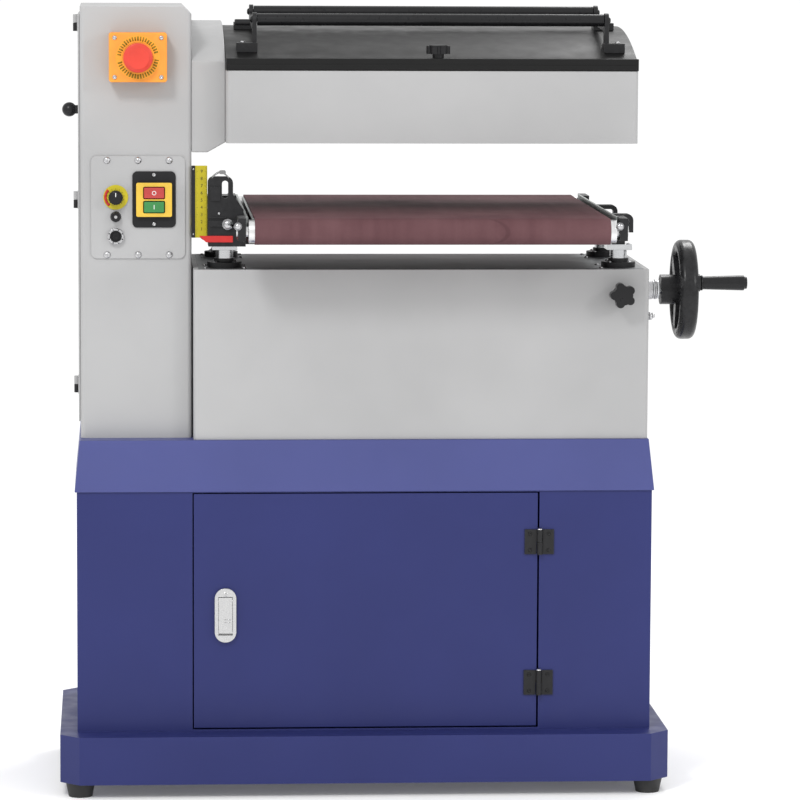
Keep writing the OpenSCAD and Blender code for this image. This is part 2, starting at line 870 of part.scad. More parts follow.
module dust_port() {
    color(light_grey) place() difference() {
        union() {
            front_plate(knob_x, port_z, 120, 98, 6, head_back, head_back + 3);
            rod_y(head_back + 2, head_back + 6, knob_x, port_z, port_r - 0.6);
            rod_y(head_back + 5, head_back + port_len, knob_x, port_z, port_r);
        }
        rod_y(head_back - past, head_back + port_len + past, knob_x, port_z, port_r - 2);
    }
}

hood_gap = 0.5;
hood_lip = 17;
hood_rise = 56;

// Section of the hood: a low front lip, then an arc that rises to the rear
module hood_section(inset) {
    z0 = head_top + hood_gap - (inset > 0 ? past : 0);
    intersection() {
        translate([head_front + inset, z0])
            square([head_d - 2 * inset, hood_rise + 10]);
        union() {
            translate([hood_apex_y, head_top + hood_rise - hood_r])
                circle(r = hood_r - inset, $fn = 360);
            translate([head_front, z0]) square([34, hood_lip - inset + head_top - z0]);
        }
    }
}

module hood() {
    color(black) place() {
        difference() {
            along_x(head_left + hood_gap, head_right) hood_section(0);
            along_x(head_left + hood_gap + 2.5, head_right - 2.5) hood_section(2.5);
            rod_z(head_top - past, head_top + 40, knob_x, knob_y, 4 + run_fit);
        }
        difference() {
            rod_z(head_top + hood_gap, head_top + hood_lip - 1, knob_x, knob_y, 9);
            rod_z(head_top - past, head_top + 40, knob_x, knob_y, 4 + run_fit);
        }
        for (x = hood_hinge_x)
            translate([x, hood_axis[0], hood_axis[1]]) rotate([0, 90, 0])
                mirror([0, 1, 0]) moving_leaf(22, hood_hinge_w);
    }
}

module hood_knob() {
    z0 = head_top + hood_lip + 0.4;
    color(black) place() translate([knob_x, knob_y, 0]) {
        rod_z(z0, z0 + 7, 0, 0, 8);
        rod_z(z0 + 6, z0 + 18, 0, 0, 13);
        for (a = [0:60:300]) rotate([0, 0, a]) rod_z(z0 + 6, z0 + 17, 11.5, 0, 5);
        rod_z(head_top + hood_gap, z0 + 1, 0, 0, 4);
    }
}

arm_x = [-156, 336];
arm_t = 6;
return_y = [head_front + 62, head_front + 200];
return_z = [1076, 1084];
return_r = 8.5;

function hood_z(y) = head_top + hood_rise - hood_r
    + sqrt(pow(hood_r, 2) - pow(y - hood_apex_y, 2));

// Side arms on the hood that hold the two return rollers, with their foot blocks
module return_roller_brackets() {
    color(black) place() difference() {
        for (i = [0, 1]) {
            x = arm_x[i];
            block_x0 = i == 0 ? x - 22 : x - 1;
            for (k = [0, 1])
                block([block_x0, return_y[k] - 14, hood_z(return_y[k] - 14) - 4],
                    [block_x0 + 29, return_y[k] + 14, hood_z(return_y[k]) + 9]);
            along_x(x, x + arm_t) {
                for (k = [0, 1]) translate([return_y[k], return_z[k]]) circle(r = 10);
                for (k = [0, 1]) polygon([
                    [return_y[k] - 9.5, hood_z(return_y[k]) + 5],
                    [return_y[k] + 9.5, hood_z(return_y[k]) + 5],
                    [return_y[k] + 9.5, return_z[k]], [return_y[k] - 9.5, return_z[k]]]);
                polygon([[return_y[0], return_z[0] - 16], [return_y[1], return_z[1] - 16],
                    [return_y[1], return_z[1] - 2], [return_y[0], return_z[0] - 2]]);
            }
        }
        // the blocks stand on the hood, with nothing inside it
        along_x(head_left - past, head_right + past)
            translate([hood_apex_y, head_top + hood_rise - hood_r])
            circle(r = hood_r, $fn = 360);
        for (k = [0, 1])
            rod_x(arm_x[0] - past, arm_x[1] + arm_t + past, return_y[k], return_z[k],
                3 + run_fit);
    }
}

module return_roller(y, z) {
    color(black) place() {
        rod_x(arm_x[0] + arm_t + 0.6, arm_x[1] - 0.6, y, z, return_r);
        rod_x(arm_x[0] - 3, arm_x[1] + arm_t + 3, y, z, 3);
    }
}

module return_roller_front() {
    return_roller(return_y[0], return_z[0]);
}

module return_roller_rear() {
    return_roller(return_y[1], return_z[1]);
}

drum_r = drum_dia / 2;

// Drum shell with bored end webs, and the through shaft that is fixed in them
module sanding_drum() {
    color(steel) place() {
        difference() {
            rod_x(drum_x0, drum_x1, drum_y, drum_z, drum_r);
            rod_x(drum_x0 + 8, drum_x1 - 8, drum_y, drum_z, drum_r - 6);
            rod_x(drum_x0 - past, drum_x1 + past, drum_y, drum_z, drum_shaft_r + 0.02);
        }
        rod_x(drive_x - 22, head_right - 6, drum_y, drum_z, drum_shaft_r);
    }
}

module abrasive_wrap() {
    color(maroon) place() difference() {
        rod_x(drum_x0 + 4, drum_x1 - 4, drum_y, drum_z, drum_r + 1);
        rod_x(drum_x0 + 3, drum_x1 - 3, drum_y, drum_z, drum_r);
    }
}

drum_pulley_r = 45;
motor_pulley_r = 36;
motor_shaft_r = 9;

// Grooved pulley on the YZ plane, centred on x
module pulley(x, y, z, r, bore) {
    translate([x, y, z]) rotate([0, 90, 0]) rotate_extrude()
        polygon([[bore, -11], [r, -11], [r, -7], [r - 8, -4], [r - 8, 4],
            [r, 7], [r, 11], [bore, 11]]);
}

module drum_pulley() {
    color(black) place() pulley(drive_x, drum_y, drum_z, drum_pulley_r, drum_shaft_r);
}

module motor_pulley() {
    color(steel) place() {
        pulley(drive_x, motor_y, motor_z, motor_pulley_r, motor_shaft_r - 1);
        rod_x(drive_x - 14, drive_x + 38, motor_y, motor_z, motor_shaft_r);
    }
}

// V-belt in the groove: two arcs and two straight runs
module drive_belt() {
    r0 = motor_pulley_r - 8 + gap;
    r1 = drum_pulley_r - 8 + gap;
    t = 5;
    dy = drum_y - motor_y;
    dz = drum_z - motor_z;
    span = sqrt(dy * dy + dz * dz);
    lean = atan2(dz, dy);
    color(rubber) place() translate([drive_x - 3.2, motor_y, motor_z]) rotate([90, 0, 90])
        linear_extrude(6.4) rotate(lean) difference() {
            belt_outline(r0 + t, r1 + t, span, -0.02);
            belt_outline(r0, r1, span, 0.02);
        }
}

// Two circles and their outer tangents; grow moves the straight sides out a little
module belt_outline(r0, r1, span, grow) {
    tilt = asin((r1 - r0) / span);
    circle(r = r0);
    translate([span, 0]) circle(r = r1);
    a = r0 + grow;
    b = r1 + grow;
    polygon([[-a * sin(tilt), a * cos(tilt)], [span - b * sin(tilt), b * cos(tilt)],
        [span - b * sin(tilt), -b * cos(tilt)], [-a * sin(tilt), -a * cos(tilt)]]);
}

// Induction motor on a folded stand inside the cabinet
module drive_motor() {
    x0 = drive_x + 30;
    color(black) place() {
        difference() {
            union() {
                rod_x(x0, x0 + 14, motor_y, motor_z, 62);
                rod_x(x0 + 13, x0 + 200, motor_y, motor_z, 66);
                rod_x(x0 + 199, x0 + 232, motor_y, motor_z, 62);
                for (a = [0:15:345]) translate([0, motor_y, motor_z]) rotate([a, 0, 0])
                    block([x0 + 20, -1, 60], [x0 + 190, 1, 71]);
                block([x0 + 60, motor_y - 92, motor_z - 14],
                    [x0 + 150, motor_y - 50, motor_z + 40]);
            }
            rod_x(x0 - past, x0 + 12, motor_y, motor_z, motor_shaft_r + run_fit);
        }
        for (x = [x0 + 40, x0 + 150])
            block([x, motor_y - 50, plinth_top + sheet], [x + 30, motor_y + 50, motor_z - 55]);
    }
}

press_y = [drum_y - 92, drum_y + 92];
press_z = head_z + 11;
press_r = 11;

// Rubber-covered hold-down roller in the drum housing, on its own fixed axle
module pressure_roller(y) {
    color(rubber) place() {
        rod_x(drum_x0, drum_x1, y, press_z, press_r);
        rod_x(head_left + 3.2, head_right - 3.2, y, press_z, 5);
    }
}

module pressure_roller_front() {
    pressure_roller(press_y[0]);
}

module pressure_roller_rear() {
    pressure_roller(press_y[1]);
}

// ---------- Conveyor table ----------

rail_t = 6;
rail_gap = 3;
rail_x = [belt_x0 - rail_gap - rail_t, belt_x1 + rail_gap];
plate_z = base_top + 25;
axle_r = 7;
bar_z = roller_z - roller_dia / 2 - 3;

// Side rails tied by two crossbars that rest on the lift columns
module table_frame() {
    rail_end = table_y - roller_dia / 2 - 2;
    color(black) place() {
        for (x = rail_x)
            block([x, -rail_end, roller_z - 15], [x + rail_t, rail_end, roller_z + 9]);
        for (y = lift_y)
            block([lift_x[0] - 16, y - 14, plate_z + 8], [lift_x[1] + 8, y + 14, bar_z]);
        for (x = rail_x, y = lift_y)
            block([x, y - 14, plate_z + 9], [x + rail_t, y + 14, roller_z - 14]);
    }
}

// Flat steel bed under the belt's upper run, held between the rails
module platen() {
    top = belt_z - belt_t - gap;
    color(steel) place() {
        block([belt_x0 - rail_gap, -table_y + 26, top - 3],
            [belt_x1 + rail_gap, table_y - 26, top]);
        for (x = [rail_x[0] - 3, rail_x[1] + rail_t])
            block([x, -table_y + 12, roller_z + 2], [x + 3, table_y - 12, belt_z + 1.5]);
    }
}

module belt_loop(t) {
    r = roller_dia / 2 + gap + t;
    translate([-table_y, roller_z - r]) square([roller_pitch, 2 * r]);
    for (s = [-1, 1]) translate([s * table_y, roller_z]) circle(r = r);
}

module conveyor_belt() {
    color(maroon) place() difference() {
        along_x(belt_x0, belt_x1) belt_loop(belt_t);
        along_x(belt_x0 - past, belt_x1 + past) belt_loop(0);
    }
}

// Sliding lift columns: bored tube with a nut at its foot and a clamp plate on top
module lift_columns() {
    nut_z = skirt_top + 58;
    color(steel) place() at_lifts() difference() {
        union() {
            rod_z(nut_z, plate_z, 0, 0, tube_r);
            translate([0, 0, plate_z + 4]) cube([35, 35, 8], center = true);
        }
        rod_z(nut_z + 24, plate_z - 3, 0, 0, screw_r + 1);
        rod_z(nut_z - past, nut_z + 25, 0, 0, screw_r + 0.1);
    }
}

tall_x = -195.5;
tall_y = base_front - 12;

// Plate of the tall bracket seen from the front: rounded top, wider foot, one slot
module tall_plate() {
    low = plate_z + 13;
    difference() {
        union() {
            polygon([[tall_x - 24, low], [rail_x[0] - 3, low], [rail_x[0] - 3, low + 46],
                [tall_x + 11, low + 67], [tall_x + 11, 853], [tall_x - 24, 853]]);
            translate([tall_x - 16, 854]) circle(r = 8);
            translate([tall_x + 1.5, 852.5]) circle(r = 9.5);
            translate([tall_x - 16, 846]) square([17.5, 16]);
        }
        translate([tall_x, 844]) rounded_rectangle(8.5, 24, 4);
    }
}

// Hooked strap above a right-hand lift column, seen from the front
module hook_outline(x0, x1, top) {
    difference() {
        translate([(x0 + x1) / 2, top - 20]) rounded_rectangle(x1 - x0, 40, 9);
        translate([(x0 + x1) / 2, top - 27]) rounded_rectangle(x1 - x0 - 11, 42, 5);
        translate([x0 - past, bar_z - 60]) square([x1 - x0 + 2 * past, 60]);
        translate([x1 - 8, bar_z - past]) square([10, 8]);
    }
}

// Brackets and roller bearing blocks along both sides of the table
module table_brackets() {
    left_x = rail_x[0] - 14;
    right_x = rail_x[1] + rail_t + 3;
    color(black) place() difference() {
        union() {
            for (x = [left_x, right_x], s = [-1, 1])
                block([x, s * (table_y - 12.5) - 27.5, roller_z - 12],
                    [x + 11, s * (table_y - 12.5) + 27.5, roller_z + 19]);
            for (y = lift_y)
                along_y(y - 9, y + 9) hook_outline(right_x, lift_x[1] + 20, roller_z + 14);
            // foot on the rear left column
            block([lift_x[0] - 12, lift_y[1] - 14, bar_z],
                [left_x + 11, lift_y[1] + 14, roller_z]);
            // tall bracket ahead of the neck
            along_y(tall_y, tall_y + 5) tall_plate();
            block([tall_x - 23, tall_y, plate_z + 8],
                [rail_x[0], lift_y[0] - 14, plate_z + 13.5]);
        }
        for (y = [-table_y, table_y])
            rod_x(left_x - past, right_x + 12, y, roller_z, axle_r + run_fit);
    }
}

module depth_pointer() {
    z = base_top + 48;
    x0 = column_right + 9.3;
    color(red) place() along_y(tall_y - 2, tall_y) polygon([
        [x0, z], [x0 + 10, z - 9], [x0 + 47, z - 9], [x0 + 47, z]]);
}

module belt_roller(y, axle_x0) {
    rod_x(rail_x[0] + 0.6, rail_x[1] + rail_t - 0.6, y, roller_z, roller_dia / 2);
    rod_x(axle_x0, rail_x[1] + rail_t + 16, y, roller_z, axle_r);
}

module front_roller() {
    color(steel) place() belt_roller(-table_y, rail_x[0] - 16);
}

module rear_roller() {
    color(steel) place() belt_roller(table_y, rail_x[0] - 40);
}

// Gearmotor beside the rear end of the table; its output shaft carries the rear roller
module feed_gearmotor() {
    color(black) place() difference() {
        union() {
            block([-232, table_y - 28, roller_z - 42],
                [rail_x[0] - 14, table_y + 16, roller_z + 18]);
            rod_y(table_y - 130, table_y - 27, -207, roller_z - 18, 25);
        }
        rod_x(-212, rail_x[0], table_y, roller_z, axle_r + run_fit);
    }
}

plinth();
rubber_feet();
cabinet_body();
cabinet_skirt();
hinge_frame_leaves();
cabinet_door();
cabinet_door_hinges();
latch_body();
latch_paddle();
base_box();
jack_flanges();
button_head_screws();
height_lock_knob();
shaft_bearings();
handwheel();
handwheel_shaft();
crank_handle();
lift_drive_shaft();
leadscrew_front_left();
leadscrew_front_right();
leadscrew_rear_left();
leadscrew_rear_right();
screw_bearing_plate();
lift_chain();
column_shell();
column_side_door();
side_door_knob();
control_plate();
emergency_stop_box();
emergency_stop_button();
switch_plate();
stop_button();
start_button();
speed_knob();
depth_scale();
neck();
drum_housing();
hood();
hood_knob();
return_roller_brackets();
return_roller_front();
return_roller_rear();
dust_port();
sanding_drum();
abrasive_wrap();
drum_pulley();
drive_belt();
drive_motor();
motor_pulley();
pressure_roller_front();
pressure_roller_rear();
table_frame();
platen();
conveyor_belt();
lift_columns();
table_brackets();
depth_pointer();
front_roller();
rear_roller();
feed_gearmotor();
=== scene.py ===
"""Looks of an open-ended drum sander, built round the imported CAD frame.

Metres, +Z up, -Y towards the operator, +X towards the open end of the drum.
"""
import math
import random

import bmesh
import bpy
from mathutils import Matrix, Vector


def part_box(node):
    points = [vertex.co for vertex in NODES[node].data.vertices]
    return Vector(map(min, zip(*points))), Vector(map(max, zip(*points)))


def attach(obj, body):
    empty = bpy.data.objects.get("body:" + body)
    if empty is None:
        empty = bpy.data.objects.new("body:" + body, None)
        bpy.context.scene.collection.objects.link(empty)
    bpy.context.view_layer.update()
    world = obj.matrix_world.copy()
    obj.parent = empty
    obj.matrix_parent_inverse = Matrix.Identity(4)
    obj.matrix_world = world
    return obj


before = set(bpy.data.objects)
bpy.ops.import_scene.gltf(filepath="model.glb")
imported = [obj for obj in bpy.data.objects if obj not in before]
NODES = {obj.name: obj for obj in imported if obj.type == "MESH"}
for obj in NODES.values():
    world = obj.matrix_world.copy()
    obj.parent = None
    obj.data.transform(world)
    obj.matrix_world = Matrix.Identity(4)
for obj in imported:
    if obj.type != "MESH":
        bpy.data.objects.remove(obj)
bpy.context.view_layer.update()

MM = 0.001


def corners(node):
    """Lowest and highest corner of a CAD node, as vectors."""
    low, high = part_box(node)
    return Vector(low), Vector(high)


def middle(node):
    low, high = corners(node)
    return (low + high) / 2


# ---------- Materials ----------


class Look:
    """A procedural material on a Principled shader. Its texture space is the object's own metres."""

    def __init__(self, name, colour, roughness, metallic=0.0, shine=0.5):
        self.material = bpy.data.materials.new(name)
        self.material.use_nodes = True
        self.tree = self.material.node_tree
        self.shader = self.tree.nodes["Principled BSDF"]
        self.material.diffuse_color = (*colour, 1)
        for socket, value in (("Base Color", (*colour, 1)), ("Roughness", roughness),
                              ("Metallic", metallic), ("Specular IOR Level", shine)):
            self.shader.inputs[socket].default_value = value
        self.space = self.add("ShaderNodeTexCoord").outputs["Object"]
        self.normal = None

    def add(self, kind, **settings):
        node = self.tree.nodes.new(kind)
        for key, value in settings.items():
            setattr(node, key, value)
        return node

    def join(self, source, target):
        self.tree.links.new(source, target)

    def stretched(self, scale):
        """Object space scaled along each axis, for grain that runs one way."""
        mapping = self.add("ShaderNodeMapping")
        mapping.inputs["Scale"].default_value = scale
        self.join(self.space, mapping.inputs["Vector"])
        return mapping.outputs["Vector"]

    def noise(self, scale, detail=2.0, space=None, rough=0.5):
        node = self.add("ShaderNodeTexNoise")
        node.inputs["Scale"].default_value = scale
        node.inputs["Detail"].default_value = detail
        node.inputs["Roughness"].default_value = rough
        self.join(space or self.space, node.inputs["Vector"])
        return node.outputs["Fac"]

    def span(self, value, low, high, start, end):
        """Maps value from low..high to start..end, clamped."""
        node = self.add("ShaderNodeMapRange")
        for index, number in enumerate((low, high, start, end)):
            node.inputs[index + 1].default_value = number
        self.join(value, node.inputs[0])
        return node.outputs[0]

    def math(self, operation, a, b=None):
        node = self.add("ShaderNodeMath", operation=operation)
        for socket, value in zip(node.inputs, (a, b)):
            if value is None:
                continue
            if isinstance(value, (int, float)):
                socket.default_value = value
            else:
                self.join(value, socket)
        return node.outputs[0]

    def blend(self, factor, a, b):
        """Mixes two colours, each a tuple or a socket, by a factor."""
        node = self.add("ShaderNodeMix", data_type="RGBA")
        self.join(factor, node.inputs["Factor"])
        for socket, value in zip((node.inputs[6], node.inputs[7]), (a, b)):
            if isinstance(value, tuple):
                socket.default_value = (*value, 1)
            else:
                self.join(value, socket)
        return node.outputs[2]

    def paint(self, colour):
        self.join(colour, self.shader.inputs["Base Color"])

    def gloss(self, value):
        self.join(value, self.shader.inputs["Roughness"])

    def bump(self, height, strength, distance):
        """Adds a layer of relief on top of the ones before it."""
        node = self.add("ShaderNodeBump")
        node.inputs["Strength"].default_value = strength
        node.inputs["Distance"].default_value = distance
        self.join(height, node.inputs["Height"])
        if self.normal is not None:
            self.join(self.normal, node.inputs["Normal"])
        self.normal = node.outputs["Normal"]
        self.join(self.normal, self.shader.inputs["Normal"])

    def edges(self, radius):
        """1 on outer edges and 0 on faces, from how far a rounded normal turns."""
        bevel = self.add("ShaderNodeBevel", samples=4)
        bevel.inputs["Radius"].default_value = radius
        geometry = self.add("ShaderNodeNewGeometry")
        turned = self.add("ShaderNodeVectorMath", operation="DOT_PRODUCT")
        self.join(bevel.outputs["Normal"], turned.inputs[0])
        self.join(geometry.outputs["Normal"], turned.inputs[1])
        return self.span(turned.outputs["Value"], 0.97, 0.80, 0.0, 1.0)


def shade(colour, factor):
    return tuple(min(1.0, channel * factor) for channel in colour)


def powder_coat(name, colour, roughness, edge_wear_and_highlight, shine=0.3):
    """Sprayed and baked paint: orange peel, faint clouding, and edges painted lighter in patches, partly
    edge wear and partly painted highlight.
    """
    look = Look(name, colour, roughness, shine=shine)
    cloud = look.noise(5.0, 3.0)
    tone = look.blend(look.span(cloud, 0.35, 0.65, 0.0, 1.0), shade(colour, 0.95), shade(colour, 1.04))
    rims = look.edges(1.2 * MM)
    patches = look.span(look.noise(240.0, 3.0), 0.42, 0.6, 0.15, 1.0)
    # Lighter colour on the edges in noisy patches: part edge wear, part painted highlight where the edges
    # would catch the light.
    chips_and_highlights = look.math("MULTIPLY", rims, patches)
    look.paint(look.blend(look.math("MULTIPLY", chips_and_highlights, 0.45), tone, edge_wear_and_highlight))
    look.gloss(look.span(look.noise(38.0, 2.0), 0.3, 0.7, roughness - 0.05, roughness + 0.07))
    look.bump(look.noise(620.0, 1.5), 0.10, 0.25 * MM)
    return look.material


def moulded(name, colour, roughness, shine=0.35):
    """Injection-moulded plastic with a fine spark-eroded grain."""
    look = Look(name, colour, roughness, shine=shine)
    cloud = look.span(look.noise(30.0, 3.0), 0.3, 0.7, 0.0, 1.0)
    look.paint(look.blend(cloud, shade(colour, 0.9), shade(colour, 1.12)))
    look.gloss(look.span(look.noise(140.0, 2.0), 0.3, 0.7, roughness - 0.05, roughness + 0.08))
    look.bump(look.noise(900.0, 2.0), 0.12, 0.12 * MM)
    return look.material


def turned_steel(name, colour, roughness, scale):
    """Bright metal with fine tool marks: scale is large along the direction the marks cross."""
    look = Look(name, colour, roughness, metallic=1.0)
    marks = look.noise(1.0, 4.0, look.stretched(scale), 0.6)
    smear = look.noise(22.0, 3.0)
    dark = shade(colour, 0.82)
    tone = look.blend(look.span(marks, 0.3, 0.7, 0.0, 1.0), dark, shade(colour, 1.06))
    look.paint(look.blend(look.span(smear, 0.35, 0.75, 0.0, 0.5), tone, dark))
    look.gloss(look.span(marks, 0.3, 0.7, roughness - 0.06, roughness + 0.1))
    look.bump(marks, 0.06, 0.05 * MM)
    return look.material


def zinc_plate(name, colour):
    """Bright zinc on fasteners: small mottled crystals."""
    look = Look(name, colour, 0.26, metallic=1.0)
    mottle = look.noise(420.0, 3.0)
    look.paint(look.blend(look.span(mottle, 0.35, 0.65, 0.0, 1.0), shade(colour, 0.84), colour))
    look.gloss(look.span(mottle, 0.3, 0.7, 0.18, 0.36))
    look.bump(look.noise(800.0, 2.0), 0.08, 0.06 * MM)
    return look.material


def cast_black(name, colour, roughness):
    """Painted casting: soft lumps under a satin paint."""
    look = Look(name, colour, roughness, shine=0.28)
    lumps = look.noise(170.0, 3.0)
    wear = look.math("MULTIPLY", look.edges(1.0 * MM), look.span(look.noise(300.0), 0.45, 0.7, 0.0, 0.6))
    tone = look.blend(look.span(lumps, 0.3, 0.7, 0.0, 1.0), shade(colour, 0.8), shade(colour, 1.3))
    look.paint(look.blend(wear, tone, (0.16, 0.16, 0.16)))
    look.gloss(look.span(lumps, 0.3, 0.7, roughness - 0.06, roughness + 0.08))
    look.bump(lumps, 0.10, 0.4 * MM)
    return look.material


def vulcanised(name, colour):
    """Black rubber: matt, with dust and fine pores."""
    look = Look(name, colour, 0.62)
    dust = look.span(look.noise(70.0, 4.0), 0.45, 0.8, 0.0, 1.0)
    look.paint(look.blend(dust, colour, shade(colour, 2.2)))
    look.bump(look.noise(1100.0, 2.0), 0.16, 0.1 * MM)
    return look.material


def abrasive_cloth(name, colour, light, splice):
    """Coated abrasive: grit, faint bands along the cloth and one slanting splice."""
    look = Look(name, colour, 0.8, shine=0.08)
    grit = look.noise(2600.0, 2.0)
    bands = look.noise(1.0, 3.0, look.stretched((55.0, 2.0, 2.0)))
    cloud = look.noise(9.0, 3.0)
    tone = look.blend(look.span(cloud, 0.35, 0.7, 0.0, 1.0), colour, light)
    tone = look.blend(look.span(bands, 0.4, 0.7, 0.0, 0.35), tone, shade(light, 1.15))
    tone = look.blend(look.span(grit, 0.35, 0.65, 0.0, 0.55), tone, shade(colour, 0.55))
    if splice:
        parts = look.add("ShaderNodeSeparateXYZ")
        look.join(look.space, parts.inputs[0])
        slant = look.math("ADD", look.math("MULTIPLY", parts.outputs["X"], 0.55), parts.outputs["Y"])
        away = look.math("ABSOLUTE", look.math("ADD", slant, splice))
        line = look.span(away, 0.0012, 0.0022, 1.0, 0.0)
        tone = look.blend(look.math("MULTIPLY", line, 0.3), tone, shade(colour, 0.5))
        look.bump(line, 0.2, 0.2 * MM)
    look.paint(tone)
    look.gloss(look.span(grit, 0.3, 0.7, 0.6, 0.85))
    look.bump(grit, 0.45, 0.12 * MM)
    return look.material


BLUE = (0.024, 0.030, 0.128)
GREY = (0.385, 0.385, 0.387)
BLACK = (0.012, 0.012, 0.013)
STEEL = (0.62, 0.63, 0.64)

# The fourth colour of each powder coat is its lighter edge colour: part wear, part painted highlight.
blue_paint = powder_coat("blue_powder_coat", BLUE, 0.38, (0.10, 0.11, 0.30), 0.22)
# The skirt gets a lighter copy of the blue paint: its extra brightness is a painted highlight for the
# light the sloping skirt catches from above.
skirt_lit_paint = powder_coat("blue_skirt_painted_highlight", (0.060, 0.070, 0.215), 0.36, (0.16, 0.17, 0.40), 0.3)
grey_paint = powder_coat("grey_powder_coat", GREY, 0.42, (0.56, 0.56, 0.56), 0.3)
hood_paint = powder_coat("black_hood_paint", (0.006, 0.006, 0.006), 0.42, (0.09, 0.09, 0.09), 0.22)
black_paint = cast_black("black_satin_paint", BLACK, 0.40)
wheel_black = cast_black("black_wheel_finish", (0.012, 0.012, 0.013), 0.28)
black_plastic = moulded("black_moulding", (0.009, 0.009, 0.010), 0.30, shine=0.28)
dull_plastic = moulded("dull_black_moulding", (0.010, 0.010, 0.011), 0.5, shine=0.25)
orange_plastic = moulded("orange_moulding", (0.82, 0.300, 0.040), 0.42)
legend_plastic = moulded("amber_legend", (0.84, 0.340, 0.030), 0.45)
olive_ink = moulded("olive_ink", (0.230, 0.150, 0.004), 0.6)
red_plastic = moulded("red_moulding", (0.60, 0.048, 0.030), 0.42)
button_red = moulded("button_red", (0.44, 0.050, 0.045), 0.40)
button_green = moulded("button_green", (0.040, 0.210, 0.060), 0.40)
pointer_red = moulded("pointer_red", (0.50, 0.022, 0.020), 0.42)
yellow_plastic = moulded("yellow_moulding", (0.66, 0.430, 0.050), 0.45)
yellow_print = moulded("yellow_printed_plate", (0.50, 0.42, 0.014), 0.45)
white_ink = moulded("white_ink", (0.80, 0.80, 0.78), 0.55)
black_ink = moulded("black_ink", (0.016, 0.016, 0.014), 0.6)
rubber = vulcanised("black_rubber", (0.014, 0.014, 0.014))
dark_zinc = zinc_plate("aged_zinc", (0.30, 0.30, 0.30))
zinc = zinc_plate("bright_zinc", (0.56, 0.56, 0.57))
satin_zinc = zinc_plate("latch_plating", (0.58, 0.58, 0.58))
column_steel = turned_steel("ground_columns", STEEL, 0.22, (30.0, 30.0, 900.0))
roller_steel = turned_steel("turned_rollers", (0.80, 0.80, 0.80), 0.30, (1100.0, 14.0, 14.0))
plate_steel = turned_steel("rolled_plate", (0.36, 0.38, 0.37), 0.42, (10.0, 400.0, 60.0))
table_steel = turned_steel("base_top_plate", (0.17, 0.175, 0.18), 0.40, (8.0, 500.0, 8.0))
shaft_steel = turned_steel("shaft_steel", STEEL, 0.30, (500.0, 40.0, 500.0))
cast_aluminium = turned_steel("cast_aluminium", (0.58, 0.58, 0.59), 0.45, (160.0, 160.0, 160.0))
belt_cloth = abrasive_cloth("conveyor_cloth", (0.105, 0.048, 0.054), (0.165, 0.085, 0.092), 0.20)
drum_cloth = abrasive_cloth("drum_cloth", (0.150, 0.060, 0.050), (0.210, 0.090, 0.075), None)

# ---------- Finishes of the CAD nodes ----------

FINISH = {
    blue_paint: ("plinth", "cabinet_body", "cabinet_door"),
    skirt_lit_paint: ("cabinet_skirt",),
    grey_paint: ("base_box", "column_shell", "column_side_door", "control_plate", "neck",
                 "drum_housing", "dust_port"),
    hood_paint: ("hood",),
    black_paint: ("hinge_frame_leaves", "cabinet_door_hinges", "table_frame", "table_brackets",
                  "return_roller_brackets", "drive_motor", "feed_gearmotor", "jack_flanges",
                  "drum_pulley"),
    wheel_black: ("handwheel",),
    black_plastic: ("height_lock_knob", "crank_handle", "side_door_knob", "hood_knob",
                    "speed_knob", "return_roller_front", "return_roller_rear"),
    dull_plastic: ("switch_plate",),
    rubber: ("rubber_feet", "drive_belt", "pressure_roller_front", "pressure_roller_rear"),
    satin_zinc: ("latch_body", "latch_paddle"),
    zinc: ("button_head_screws", "lift_chain"),
    shaft_steel: ("handwheel_shaft", "lift_drive_shaft", "leadscrew_front_left",
                  "leadscrew_front_right", "leadscrew_rear_left", "leadscrew_rear_right",
                  "screw_bearing_plate", "motor_pulley"),
    column_steel: ("lift_columns",),
    roller_steel: ("front_roller", "rear_roller"),
    plate_steel: ("platen",),
    cast_aluminium: ("shaft_bearings", "sanding_drum"),
    orange_plastic: ("emergency_stop_box",),
    red_plastic: ("emergency_stop_button",),
    button_red: ("stop_button",),
    button_green: ("start_button",),
    pointer_red: ("depth_pointer",),
    yellow_print: ("depth_scale",),
    belt_cloth: ("conveyor_belt",),
    drum_cloth: ("abrasive_wrap",),
}

EDGE_RADIUS = {
    "plinth": 2.0, "cabinet_body": 1.2, "cabinet_skirt": 2.0, "cabinet_door": 1.6, "base_box": 1.2,
    "column_shell": 1.6, "neck": 2.5, "drum_housing": 1.2, "hood": 1.6, "column_side_door": 1.0,
    "handwheel": 1.6, "table_brackets": 1.2, "feed_gearmotor": 2.0, "emergency_stop_box": 2.0,
    "emergency_stop_button": 1.2, "latch_body": 1.6, "latch_paddle": 1.2, "crank_handle": 1.0,
    "rubber_feet": 1.5, "table_frame": 1.0, "height_lock_knob": 2.0, "hood_knob": 1.5,
    "button_head_screws": 0.2, "hinge_frame_leaves": 0.6, "cabinet_door_hinges": 0.6,
    "return_roller_brackets": 1.0, "drive_motor": 1.0, "platen": 0.4, "conveyor_belt": 0.3,
    "stop_button": 1.2, "start_button": 1.2, "jack_flanges": 0.8, "control_plate": 0.8,
}


def round_edges(obj, width, joined=True):
    """Rounds hard edges. A CAD mesh is first welded and its flat triangles joined."""
    if not joined:
        obj.modifiers.new("Weld", "WELD").merge_threshold = 0.01 * MM
        flat = obj.modifiers.new("Flats", "DECIMATE")
        flat.decimate_type = "DISSOLVE"
        flat.angle_limit = math.radians(0.6)
    bevel = obj.modifiers.new("Edges", "BEVEL")
    bevel.width = width
    bevel.segments = 2
    bevel.limit_method = "ANGLE"
    bevel.angle_limit = math.radians(32)
    bevel.use_clamp_overlap = True
    obj.modifiers.new("Normals", "WEIGHTED_NORMAL").keep_sharp = False


def finish_nodes():
    for material, names in FINISH.items():
        for name in names:
            node = NODES[name]
            for slot in node.material_slots:
                slot.material = material
            round_edges(node, EDGE_RADIUS.get(name, 0.5) * MM, joined=False)


finish_nodes()

# ---------- Mesh tools ----------


def turned(axis):
    return Vector((0, 0, 1)).rotation_difference(Vector(axis)).to_matrix().to_4x4()


